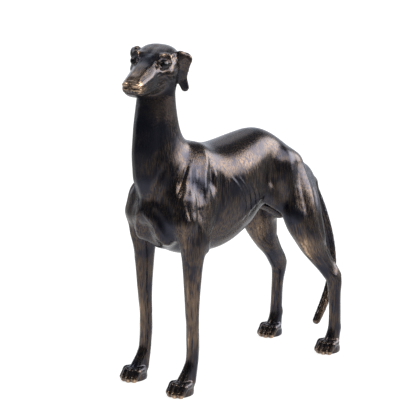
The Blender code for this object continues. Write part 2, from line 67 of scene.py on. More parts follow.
NECK = [  # z, x, y, half-width, half-depth
    (0.385, 0.0, 0.095, 0.042, 0.06),
    (0.41, 0.0, 0.082, 0.052, 0.082),
    (0.435, 0.0, 0.066, 0.058, 0.097),
    (0.46, 0.0, 0.055, 0.058, 0.099),
    (0.5, 0.0, 0.038, 0.053, 0.089),
    (0.53, 0.0, 0.021, 0.046, 0.0745),
    (0.56, 0.0, 0.01, 0.042, 0.061),
    (0.6, 0.0, 0.0055, 0.0395, 0.0515),
    (0.65, 0.0, 0.0066, 0.0375, 0.043),
    (0.69, 0.002, 0.0106, 0.035, 0.0395),
]
FORE = [  # z, x, y, half-width, half-depth of the fore leg
    (0.03, 0.076, 0.0306, 0.0145, 0.0135),
    (0.055, 0.076, 0.0351, 0.014, 0.014),
    (0.085, 0.0762, 0.0394, 0.014, 0.0138),
    (0.115, 0.0752, 0.0408, 0.0145, 0.0141),
    (0.145, 0.075, 0.0408, 0.0142, 0.0139),
    (0.178, 0.0755, 0.0391, 0.0148, 0.0153),
    (0.217, 0.0762, 0.0386, 0.016, 0.0181),
    (0.25, 0.0765, 0.0391, 0.018, 0.0205),
    (0.28, 0.0768, 0.0396, 0.02, 0.0232),
    (0.31, 0.0774, 0.0401, 0.0222, 0.028),
    (0.345, 0.075, 0.0391, 0.025, 0.035),
    (0.38, 0.069, 0.0396, 0.026, 0.04),
    (0.41, 0.062, 0.0406, 0.024, 0.038),
]
HIND = [  # z, x, y, half-width, half-depth of the hind leg
    (0.03, 0.0935, 0.4829, 0.0145, 0.0163),
    (0.06, 0.0945, 0.4858, 0.0135, 0.0154),
    (0.085, 0.0942, 0.487, 0.0132, 0.0146),
    (0.107, 0.0935, 0.4872, 0.0132, 0.0144),
    (0.14, 0.0915, 0.4881, 0.0138, 0.0154),
    (0.165, 0.0893, 0.489, 0.0148, 0.02),
    (0.185, 0.0865, 0.4801, 0.0148, 0.0248),
    (0.205, 0.0825, 0.4661, 0.0152, 0.0278),
    (0.225, 0.0803, 0.4485, 0.0172, 0.03),
    (0.25, 0.0785, 0.43, 0.0212, 0.035),
    (0.28, 0.0775, 0.4155, 0.0262, 0.044),
    (0.31, 0.074, 0.403, 0.0302, 0.0515),
    (0.345, 0.069, 0.3955, 0.0325, 0.0545),
    (0.38, 0.06, 0.395, 0.033, 0.052),
    (0.42, 0.048, 0.383, 0.031, 0.048),
    (0.46, 0.035, 0.368, 0.027, 0.038),
]
TAIL = [  # step from root to tip, x, y, z, radius
    (0.0, 0.0, 0.474, 0.412, 0.0185),
    (1, 0.002, 0.503, 0.375, 0.0145),
    (2, 0.008, 0.526, 0.33, 0.0122),
    (3, 0.016, 0.539, 0.285, 0.0112),
    (4, 0.023, 0.547, 0.24, 0.0104),
    (5, 0.029, 0.548, 0.195, 0.0103),
    (6, 0.034, 0.537, 0.145, 0.0104),
    (7, 0.0368, 0.513, 0.1, 0.0105),
    (8, 0.0378, 0.4855, 0.0605, 0.0092),
]
HEAD = [  # y (the nose is at -y), top z, bottom z, half-width, level of the widest point
    (-0.139, 0.0152, -0.0155, 0.0203, 0.5),
    (-0.13, 0.0192, -0.0232, 0.0231, 0.5),
    (-0.11, 0.0227, -0.0292, 0.0254, 0.5),
    (-0.085, 0.0267, -0.036, 0.0284, 0.5),
    (-0.06, 0.03, -0.041, 0.03, 0.5),
    (-0.04, 0.035, -0.046, 0.0365, 0.52),
    (-0.02, 0.0397, -0.049, 0.043, 0.54),
    (0.0, 0.0422, -0.049, 0.0465, 0.55),
    (0.025, 0.0407, -0.044, 0.045, 0.55),
    (0.05, 0.0292, -0.033, 0.035, 0.5),
    (0.062, 0.016, -0.02, 0.02, 0.5),
]
HEAD_CENTRE = (0.004, 0.0015, 0.7155)
HEAD_TURN = (26.0, 11.5, 4.0)     # degrees: to the left, nose down, tilted
EAR_LINE = [(0.038, 0.012, 0.018), (0.048, 0.020, 0.018), (0.0565, 0.028, 0.011), (0.0500, 0.032, -0.012),
            (0.0442, 0.033, -0.034), (0.0495, 0.033, -0.0595)]
EAR_RADII = [0.0110, 0.0135, 0.0152, 0.0132, 0.0098, 0.0066]
EAR_FLAT = 0.42
BRIDGE_EDGE = [  # y, distance of the bevel beside the bridge from the head's axis
    (-0.150, 0.0178),
    (-0.1265, 0.0203),
    (-0.100, 0.0232),
    (-0.0715, 0.0272),
    (-0.0455, 0.0330),
    (-0.025, 0.0470),
    (0.000, 0.0800),
]
EAR_FACE = (0.50, -0.85, 0.12)    # the side of the flap that looks out
PAW_FORE = (0.0755, 0.003)
PAW_HIND = (0.0935, 0.465)
TOES = ((-0.0174, 0.0095), (-0.0063, 0.002), (0.0063, 0.002), (0.0174, 0.0095))

HEAD_CARVING = [  # in the head's own axes
    (0.0060, -0.0020, [(0.000, -0.036, 0.040), (0.000, -0.010, 0.046), (0.000, 0.015, 0.047)]),       # forehead furrow
    (0.0050, -0.0024, [(0.013, -0.043, 0.034), (0.022, -0.049, 0.026), (0.025, -0.056, 0.014)]),      # inner corner of the eye
    (0.0060, 0.0016, [(0.018, -0.024, 0.041), (0.028, -0.030, 0.040), (0.038, -0.028, 0.036)]),       # brow
    (0.0070, -0.0022, [(0.046, -0.020, 0.027), (0.047, 0.000, 0.022)]),                               # temple
    (0.0040, -0.0022, [(0.020, -0.126, -0.013), (0.0255, -0.090, -0.017), (0.031, -0.062, -0.017), (0.038, -0.044, -0.014)]),  # mouth
    (0.0060, -0.0016, [(0.034, -0.060, -0.004), (0.046, -0.034, -0.014), (0.047, -0.010, -0.030)]),   # under the cheek bone
]

# Carving strokes: width, height (raised) or depth (negative), then the line they follow.
# They are given for the left side and mirrored.
CARVING = [
    (0.0075, 0.0026, [(0.046, 0.100, 0.522), (0.064, 0.096, 0.506), (0.076, 0.082, 0.479), (0.080, 0.069, 0.438)]),      # rim of the blade
    (0.0065, -0.0028, [(0.066, 0.112, 0.505), (0.075, 0.097, 0.454), (0.076, 0.090, 0.395)]),                            # behind it
    (0.0075, 0.0035, [(0.064, 0.112, 0.494), (0.071, 0.117, 0.462), (0.072, 0.116, 0.428), (0.076, 0.106, 0.384), (0.085, 0.085, 0.345)]),  # triceps edge
    (0.0070, -0.0035, [(0.070, 0.131, 0.475), (0.072, 0.131, 0.430), (0.072, 0.125, 0.385), (0.068, 0.105, 0.340)]),     # shoulder to ribs
    (0.0060, 0.0022, [(0.052, 0.035, 0.504), (0.056, 0.0165, 0.474), (0.064, 0.000, 0.446)]),
    (0.0055, -0.0022, [(0.054, 0.046, 0.505), (0.062, 0.022, 0.468), (0.074, -0.002, 0.435)]),
    (0.0065, 0.0032, [(0.055, 0.054, 0.504), (0.068, 0.027, 0.464), (0.083, 0.006, 0.428), (0.088, 0.008, 0.385), (0.086, 0.010, 0.345), (0.081, 0.016, 0.300)]),
    (0.0070, -0.0026, [(0.066, 0.064, 0.478), (0.080, 0.042, 0.430), (0.093, 0.036, 0.390), (0.096, 0.034, 0.345)]),
    (0.0065, 0.0036, [(0.006, -0.038, 0.404), (0.022, -0.031, 0.388), (0.031, -0.012, 0.358), (0.037, 0.008, 0.336)]),  # breast edge
    (0.0085, -0.0034, [(0.026, -0.034, 0.418), (0.043, -0.018, 0.385), (0.050, 0.000, 0.355)]),   # breast to shoulder
    (0.0065, -0.0030, [(0.036, -0.010, 0.505), (0.027, -0.028, 0.455), (0.012, -0.037, 0.415)]),                         # base of the neck
    (0.0070, -0.0020, [(0.034, -0.015, 0.630), (0.037, -0.020, 0.560), (0.034, -0.024, 0.505)]),                         # jugular groove
    (0.0050, 0.0022, [(0.000, -0.047, 0.640), (0.000, -0.054, 0.570), (0.000, -0.058, 0.500), (0.000, -0.049, 0.440)]),  # throat keel
    (0.0060, 0.0016, [(0.058, 0.290, 0.408), (0.066, 0.250, 0.385), (0.069, 0.206, 0.360), (0.062, 0.160, 0.335)]),      # edge of the ribs
    (0.0120, 0.0035, [(0.050, 0.346, 0.500), (0.054, 0.356, 0.494)]),                                                    # hip bone
    (0.0100, 0.0032, [(0.054, 0.355, 0.494), (0.070, 0.352, 0.440), (0.080, 0.350, 0.385), (0.088, 0.352, 0.340)]),      # front of the thigh
    (0.0080, -0.0028, [(0.060, 0.380, 0.478), (0.080, 0.378, 0.420), (0.094, 0.382, 0.350), (0.096, 0.390, 0.310)]),
    (0.0180, -0.0030, [(0.056, 0.318, 0.480), (0.058, 0.308, 0.443), (0.058, 0.300, 0.415)]),                            # hollow of the flank
    (0.0070, 0.0022, [(0.045, 0.398, 0.474), (0.064, 0.402, 0.440), (0.083, 0.404, 0.400), (0.098, 0.404, 0.350)]),
    (0.0055, -0.0028, [(0.085, 0.418, 0.400), (0.100, 0.418, 0.345), (0.098, 0.432, 0.290), (0.092, 0.452, 0.255)]),     # hamstring
    (0.0120, 0.0022, [(0.084, 0.347, 0.336), (0.086, 0.349, 0.332)]),                                                    # knee
    (0.0050, 0.0022, [(0.082, 0.360, 0.315), (0.082, 0.385, 0.280), (0.081, 0.412, 0.248), (0.083, 0.440, 0.222)]),      # shin
    (0.0060, -0.0034, [(0.093, 0.446, 0.268), (0.094, 0.468, 0.235), (0.096, 0.488, 0.205)]),                            # above the hock
    (0.0060, -0.0030, [(0.063, 0.448, 0.262), (0.068, 0.468, 0.235), (0.074, 0.488, 0.205)]),
    (0.0060, 0.0020, [(0.098, 0.482, 0.186), (0.098, 0.480, 0.180)]),                                                    # ankle bone
    (0.0040, -0.0014, [(0.096, 0.040, 0.305), (0.094, 0.040, 0.250), (0.090, 0.042, 0.200)]),                            # forearm
    (0.0080, 0.0012, [(0.078, 0.027, 0.128), (0.076, 0.027, 0.116)]),                                                    # wrist
    (0.0065, 0.0032, [(0.077, 0.052, 0.100), (0.077, 0.051, 0.094)]),                                                    # wrist pad
]

# ------------------------------------------------------------------ form
def spline(rows):
    """Smooth curve through a table whose first column is the station."""
    table = np.array(rows, float)
    s, v = table[:, 0], table[:, 1:]
    h = np.diff(s)[:, None]
    d = np.diff(v, axis=0) / h
    m = np.zeros_like(v)
    m[0], m[-1] = d[0], d[-1]
    m[1:-1] = (h[1:] * d[:-1] + h[:-1] * d[1:]) / (h[1:] + h[:-1])
    m[1:-1][d[:-1] * d[1:] <= 0] *= 0.35

    def value(x):
        x = np.clip(x, s[0], s[-1])
        k = np.clip(np.searchsorted(s, x, side="right") - 1, 0, len(s) - 2)
        w = (s[k + 1] - s[k])[:, None]
        u = (x - s[k])[:, None] / w
        return (v[k] * (2 * u**3 - 3 * u**2 + 1) + m[k] * w * (u**3 - 2 * u**2 + u)
                + v[k + 1] * (3 * u**2 - 2 * u**3) + m[k + 1] * w * (u**3 - u**2))
    return value


def blend(a, b, k):
    """Union of two distances with a fillet of about k."""
    h = np.maximum(k - np.abs(a - b), 0.0) / k
    return np.minimum(a, b) - h**3 * k / 6.0


def hollow(a, b, k):
    return -blend(-a, b, k)


def oval(u, v, w, a, b, c, n=2.0):
    """Distance to an oval section (or ball) with half sizes a, b, c."""
    q = ((np.abs(u) / a) ** n + (np.abs(v) / b) ** n) ** (2.0 / n) + (w / c) ** 2
    k0 = np.sqrt(q + 1e-12)
    k1 = np.sqrt((u / a**2) ** 2 + (v / b**2) ** 2 + (w / c**2) ** 2 + 1e-9)
    return k0 * (k0 - 1.0) / k1


def turned(yaw, pitch, roll):
    """Axes of the head: turned to the left, nose down, tilted."""
    return np.array(Matrix.Rotation(yaw, 3, "Z") @ Matrix.Rotation(pitch, 3, "X") @ Matrix.Rotation(roll, 3, "Y"))


class Upright:
    """Oval sections stacked along Z: rows z, x, y, half-width, half-depth."""

    def __init__(self, rows, cap, n=2.1):
        self.curve, self.lo, self.hi = spline(rows), rows[0][0], rows[-1][0]
        self.cap, self.n = cap, n

    def distance(self, p):
        z, s = p[:, 2], self.curve(p[:, 2])
        over = z - np.clip(z, self.lo, self.hi)
        return oval(p[:, 0] - s[:, 0], p[:, 1] - s[:, 1], over, s[:, 2], s[:, 3], self.cap, self.n)

    def rings(self, count=26):
        for z in np.linspace(self.lo - 0.7 * self.cap, self.hi + 0.7 * self.cap, count):
            s = self.curve(np.array([z]))[0]
            g = math.sqrt(1 - ((z - min(max(z, self.lo), self.hi)) / self.cap) ** 2)
            yield [(s[0] + g * s[2] * math.cos(t), s[1] + g * s[3] * math.sin(t), z) for t in TURN]


class Lying:
    """Sections stacked along Y: rows y, top z, bottom z, half-width, level of the widest point."""

    def __init__(self, rows, cap, n=2.15):
        self.curve, self.lo, self.hi = spline(rows), rows[0][0], rows[-1][0]
        self.cap, self.n = cap, n

    def distance(self, p):
        y, s = p[:, 1], self.curve(p[:, 1])
        over = y - np.clip(y, self.lo, self.hi)
        mid = s[:, 1] + s[:, 3] * (s[:, 0] - s[:, 1])
        v = p[:, 2] - mid
        half = np.where(v > 0, s[:, 0] - mid, mid - s[:, 1])
        return oval(p[:, 0], v, over, s[:, 2], half, self.cap, self.n)

    def rings(self, count=30):
        for y in np.linspace(self.lo - 0.7 * self.cap, self.hi + 0.7 * self.cap, count):
            s = self.curve(np.array([y]))[0]
            g = math.sqrt(1 - ((y - min(max(y, self.lo), self.hi)) / self.cap) ** 2)
            mid = s[1] + s[3] * (s[0] - s[1])
            yield [(g * s[2] * math.cos(t), y,
                    mid + g * math.sin(t) * (s[0] - mid if math.sin(t) > 0 else mid - s[1])) for t in TURN]


class Rope:
    """Round chain through points; flat squashes it along the direction n."""

    def __init__(self, points, radii, k=0.004, flat=1.0, n=(0, 1, 0)):
        self.n = np.array(n, float) / np.linalg.norm(n)
        self.flat, self.k, self.radii = flat, k, radii
        points = np.array(points, float)
        self.foot = points[len(points) // 2 - 1]
        self.points = self.stretch(points)

    def stretch(self, q):
        return q + (1.0 / self.flat - 1.0) * ((q - self.foot) @ self.n)[:, None] * self.n

    def distance(self, p):
        p = self.stretch(p)
        out = None
        for a, b, ra, rb in zip(self.points[:-1], self.points[1:], self.radii[:-1], self.radii[1:]):
            d = b - a
            t = np.clip(((p - a) @ d) / (d @ d), 0, 1)
            q = p - a - t[:, None] * d
            f = np.sqrt((q * q).sum(1) + 1e-12) - (ra + (rb - ra) * t)
            out = f if out is None else blend(out, f, self.k)
        return out * (1.0 if self.flat == 1.0 else 0.62)

    def rings(self):
        way = [self.points[1] - self.points[0]] + [b - a for a, b in zip(self.points[:-1], self.points[1:])]
        side = np.cross(way[0], (0.31, 0.17, 0.93))
        stations = [(self.points[0], way[1], self.radii[0], -0.8)]
        for i, c in enumerate(self.points):
            ahead = way[min(i + 1, len(way) - 1)]
            d = way[i] / np.linalg.norm(way[i]) + ahead / np.linalg.norm(ahead)
            stations.append((c, d, self.radii[i], 0.0))
        stations.append((self.points[-1], way[-1], self.radii[-1], 0.8))
        for c, d, r, end in stations:
            d = d / np.linalg.norm(d)
            u = side - (side @ d) * d
            u /= np.linalg.norm(u)
            v = np.cross(d, u)
            side = u
            g = math.sqrt(1 - end * end)
            ring = np.array([c + end * r * d + g * r * (math.cos(t) * u + math.sin(t) * v) for t in TURN])
            yield ring - (1 - self.flat) * ((ring - self.foot) @ self.n)[:, None] * self.n


class Ball:
    """Ellipsoid; lean (degrees about X) then swing (degrees about Z) turn its axes."""

    def __init__(self, centre, half, lean=0.0, swing=0.0):
        self.c, self.h = np.array(centre), half
        self.axes = np.array(Matrix.Rotation(math.radians(swing), 3, "Z") @ Matrix.Rotation(math.radians(lean), 3, "X"))

    def distance(self, p):
        q = (p - self.c) @ self.axes
        return oval(q[:, 0], q[:, 1], q[:, 2], *self.h)

    def rings(self, count=9):
        for w in np.linspace(-0.97, 0.97, count):
            g = math.sqrt(1 - w * w)
            yield [self.c + self.axes @ np.array((g * self.h[0] * math.cos(t), g * self.h[1] * math.sin(t),
                                                  w * self.h[2])) for t in TURN]


# ------------------------------------------------------------------ the dog
TURN = [2 * math.pi * i / 20 for i in range(20)]
HEAD_AXES = turned(*(math.radians(a) for a in HEAD_TURN))
TAIL_LINE = spline(TAIL)(np.linspace(0, 8, 25))
EDGE = spline(BRIDGE_EDGE)

# Each entry: shape, fillet, mirrored to the right side as well.
BODY = [
    (Lying(TORSO, 0.018), 0.0, False),
    (Upright(NECK, 0.02), 0.034, False),
    (Rope([(0.036, 0.098, 0.510), (0.054, 0.062, 0.462), (0.066, 0.030, 0.424)],
          [0.0220, 0.0310, 0.0310], 0.012, 0.60, (0.93, -0.10, 0.35)), 0.034, True),           # shoulder blade
    (Rope([(0.064, 0.026, 0.424), (0.070, 0.022, 0.385), (0.076, 0.060, 0.338)],
          [0.0255, 0.0285, 0.0200], 0.012), 0.030, True),                                      # upper arm
    (Ball((0.071, 0.074, 0.388), (0.018, 0.034, 0.062), -18.0), 0.024, True),                  # triceps
    (Rope([(0.078, 0.069, 0.331), (0.079, 0.0725, 0.318)], [0.0128, 0.0107]), 0.021, True),     # elbow
    (Ball((0.030, 0.004, 0.374), (0.030, 0.028, 0.044)), 0.030, True),                         # breast
    (Upright(FORE, 0.02), 0.022, True),
    (Upright(HIND, 0.02), 0.026, True),
    (Ball((0.044, 0.360, 0.443), (0.027, 0.052, 0.050)), 0.030, True),                         # haunch
    (Ball((0.040, 0.427, 0.378), (0.0292, 0.0370, 0.0680)), 0.030, True),                         # buttock
    (Ball((0.050, 0.318, 0.388), (0.009, 0.050, 0.020), -38.0), 0.028, True),                  # flank fold
    (Rope([(0.0, 0.300, 0.372), (0.0, 0.345, 0.360), (0.0, 0.394, 0.336)],
          [0.0100, 0.0125, 0.0165], 0.006), 0.018, False),                                     # sheath
    (Rope([(0.0875, 0.5005, 0.181), (0.080, 0.458, 0.246)], [0.0086, 0.0112]), 0.012, True),    # heel cord
    (Rope(TAIL_LINE[:, :3], TAIL_LINE[:, 3], 0.003), 0.020, False),
]
SKULL = [
    (Lying(HEAD, 0.006, 2.5), 0.0),
    (Ball((0.037, -0.006, -0.002), (0.014, 0.030, 0.016)), 0.014),      # cheek bone
    (Ball((0.0330, -0.024, 0.0264), (0.0138, 0.015, 0.0125)), 0.010),   # brow
    (Ball((0.026, 0.012, -0.036), (0.014, 0.026, 0.018)), 0.016),       # jaw
    (Ball((0.0, -0.139, 0.0030), (0.0186, 0.0105, 0.0130)), 0.004),     # nose
]
SOCKET = Ball((0.0395, -0.0400, 0.0205), (0.0080, 0.0110, 0.0068))
EYE = Ball((0.0322, -0.0352, 0.0200), (0.0103, 0.0103, 0.0088))
EAR = Rope(EAR_LINE, EAR_RADII, 0.004, EAR_FLAT, EAR_FACE)
EAR_CUP = Rope([np.array(p) + 0.0078 * np.array(EAR_FACE) / np.linalg.norm(EAR_FACE) + (0.0, 0.0, -0.006)
                for p in EAR_LINE[2:5]], [0.0088, 0.0080, 0.0050], 0.004, EAR_FLAT, EAR_FACE)
PAW = [
    (Ball((0.0, 0.005, 0.006), (0.0214, 0.0300, 0.0222)), 0.0),
    (Rope([(0.0, 0.026, 0.055), (0.0, 0.004, 0.024)], [0.0120, 0.0135]), 0.012),
] + [
    (Rope([(0.70 * x, y + 0.004, 0.0225), (0.98 * x, y - 0.015, 0.0212), (1.03 * x, y - 0.0255, 0.0075)],
          [0.0088, 0.0093, 0.0084]), 0.0030) for x, y in TOES
]


def relief(p, strokes):
    """Height of the carving strokes at the points; each stroke fades out at its ends."""
    total = np.zeros(len(p))
    for width, height, line in strokes:
        line = np.array(line, float)
        near = np.all((p > line.min(0) - 2.6 * width) & (p < line.max(0) + 2.6 * width), 1)
        if not near.any():
            continue
        q = p[near]
        run = np.concatenate(([0], np.cumsum(np.linalg.norm(np.diff(line, axis=0), axis=1))))
        best, along = np.full(len(q), 9.0), np.zeros(len(q))
        for a, b, s0, s1 in zip(line[:-1], line[1:], run[:-1], run[1:]):
            d = b - a
            t = np.clip(((q - a) @ d) / (d @ d), 0, 1)
            r = np.linalg.norm(q - a - t[:, None] * d, axis=1)
            closer = r < best
            best = np.where(closer, r, best)
            along = np.where(closer, s0 + t * (s1 - s0), along)
        fade = np.minimum(1.0, 0.35 + np.minimum(along, run[-1] - along) / max(0.22 * run[-1], 2 * width))
        total[near] += height * fade * np.exp(-(best / width) ** 2)
    return total


def settle(points, rounds, form, reach=0.02):
    """Move points square to a surface until they lie on it."""
    step = 2e-4
    for _ in range(rounds):
        f = form(points)
        g = np.stack([(form(points + step * axis) - f) / step for axis in np.eye(3)], 1)
        points = points - np.clip(f / np.maximum((g * g).sum(1), 0.08), -reach, reach)[:, None] * g
    return points


def draped(strokes, form):
    """Lay the strokes on a surface, with points every few millimetres."""
    out = []
    for width, height, line in strokes:
        line = np.array(line, float)
        run = np.concatenate(([0], np.cumsum(np.linalg.norm(np.diff(line, axis=0), axis=1))))
        count = max(3, int(run[-1] / 0.007) + 2)
        curve = spline(np.column_stack((run, line)))
        out.append((width, height, settle(curve(np.linspace(0, run[-1], count)), 4, form)))
    return out


def body_distance(m):
    f = BODY[0][0].distance(m)
    for shape, k, _ in BODY[1:]:
        f = blend(f, shape.distance(m), k)
    return f


def skull_distance(q):
    f = SKULL[0][0].distance(q)
    for shape, k in SKULL[1:]:
        f = blend(f, shape.distance(q), k)
    bevel = 0.72 * q[:, 0] + 0.69 * q[:, 2] - EDGE(q[:, 1])[:, 0]
    return hollow(f, -bevel, 0.003)


BODY_STROKES = draped(CARVING, body_distance)
HEAD_STROKES = draped(HEAD_CARVING, skull_distance)


def head_distance(p):
    q = (p - np.array(HEAD_CENTRE)) @ HEAD_AXES
    q[:, 0] = np.abs(q[:, 0])
    f = skull_distance(q) - relief(q, HEAD_STROKES)
    f = hollow(f, SOCKET.distance(q), 0.006)
    f = blend(f, EYE.distance(q), 0.003)
    return blend(f, hollow(EAR.distance(q), EAR_CUP.distance(q), 0.003), 0.005)


def paw_distance(p, place):
    q = p - np.array((place[0], place[1], 0.0))
    f = PAW[0][0].distance(q)
    for shape, k in PAW[1:]:
        f = blend(f, shape.distance(q), k)
    return f


def dog_distance(p):
    m = p.copy()
    m[:, 0] = np.abs(m[:, 0])
    f = BODY[0][0].distance(m)
    for shape, k, both in BODY[1:]:
        f = blend(f, shape.distance(m if both else p), k)
    f = f - relief(m, BODY_STROKES)
    for place in (PAW_FORE, PAW_HIND):
        f = blend(f, paw_distance(m, place), 0.010)
    return blend(f, head_distance(p), 0.016)


# ------------------------------------------------------------------ fine relief
SHIFT = (0.0, -0.2126)   # from the carving's own middle to the middle of the box

FINE_HEAD = [  # width, height, line; in the head's own axes
    (0.0020, 0.0016, [(0.0225, -0.0480, 0.0235), (0.0262, -0.0470, 0.0268), (0.0325, -0.0430, 0.0300), (0.0390, -0.0350, 0.0270), (0.0425, -0.0270, 0.0200)]),   # upper lid
    (0.0018, 0.0013, [(0.0225, -0.0480, 0.0215), (0.0280, -0.0470, 0.0165), (0.0345, -0.0430, 0.0130), (0.0405, -0.0350, 0.0140), (0.0425, -0.0270, 0.0180)]),   # lower lid
    (0.0016, -0.0012, [(0.0240, -0.0480, 0.0310), (0.0325, -0.0440, 0.0345), (0.0410, -0.0350, 0.0320)]),     # crease over the lid
    (0.0022, -0.0012, [(0.0250, -0.0500, 0.0110), (0.0340, -0.0440, 0.0080), (0.0420, -0.0330, 0.0100)]),     # crease under the eye
    (0.0024, 0.0020, [(0.000, -0.1480, 0.0125), (0.0080, -0.1472, 0.0122), (0.0150, -0.1430, 0.0095), (0.0195, -0.1365, 0.0050)]),    # rim of the nose
    (0.0026, -0.0052, [(0.0065, -0.1500, 0.0042), (0.0115, -0.1475, 0.0026), (0.0165, -0.1425, 0.0030)]),      # nostril
    (0.0016, -0.0026, [(0.0160, -0.1425, 0.0012), (0.0185, -0.1370, 0.0010), (0.0192, -0.1330, 0.0030)]),
    (0.0012, -0.0012, [(0.000, -0.1500, 0.0050), (0.000, -0.1490, -0.0060), (0.000, -0.1450, -0.0130)]),      # furrow under the nose
    (0.0016, -0.0020, [(0.000, -0.1480, -0.0105), (0.0100, -0.1450, -0.0125), (0.0170, -0.1360, -0.0130), (0.0225, -0.1150, -0.0150), (0.0255, -0.0900, -0.0170), (0.0310, -0.0620, -0.0170), (0.0380, -0.0440, -0.0140)]),  # mouth
    (0.0018, -0.0016, [(0.006, -0.1500, -0.0040), (0.0075, -0.1460, -0.0100)]),
    (0.0018, -0.0014, [(0.012, -0.1480, -0.0040), (0.0125, -0.1430, -0.0100)]),
    (0.0022, 0.0009, [(0.0150, -0.1400, -0.0085), (0.0225, -0.1150, -0.0105), (0.0262, -0.0900, -0.0125), (0.0310, -0.0640, -0.0130)]),  # upper lip
    (0.0022, -0.0010, [(0.0420, -0.0350, -0.0100), (0.0440, -0.0250, -0.0220), (0.0400, -0.0150, -0.0360)]),
    (0.0020, -0.0009, [(0.0380, -0.0480, -0.0060), (0.0400, -0.0380, -0.0240), (0.0360, -0.0280, -0.0380)]),
    (0.0024, 0.0010, [(0.0300, -0.0700, 0.0020), (0.0370, -0.0480, -0.0020), (0.0440, -0.0300, -0.0040)]),
    (0.0022, 0.0010, [(0.0270, -0.0420, -0.0470), (0.0330, -0.0260, -0.0500), (0.0340, -0.0050, -0.0480)]),   # jaw line
    (0.0090, -0.0030, [(0.0480, -0.0200, 0.0040), (0.0500, -0.0040, 0.0020), (0.0490, 0.0100, 0.0000)]),     # under the temple
    (0.0050, 0.0014, [(0.0380, -0.0220, 0.0360), (0.0400, -0.0060, 0.0320), (0.0400, 0.0080, 0.0300)]),      # edge of the temple
    (0.0018, -0.0008, [(0.0250, -0.1050, 0.0020), (0.0290, -0.0750, 0.0020), (0.0360, -0.0520, 0.0060)]),
]
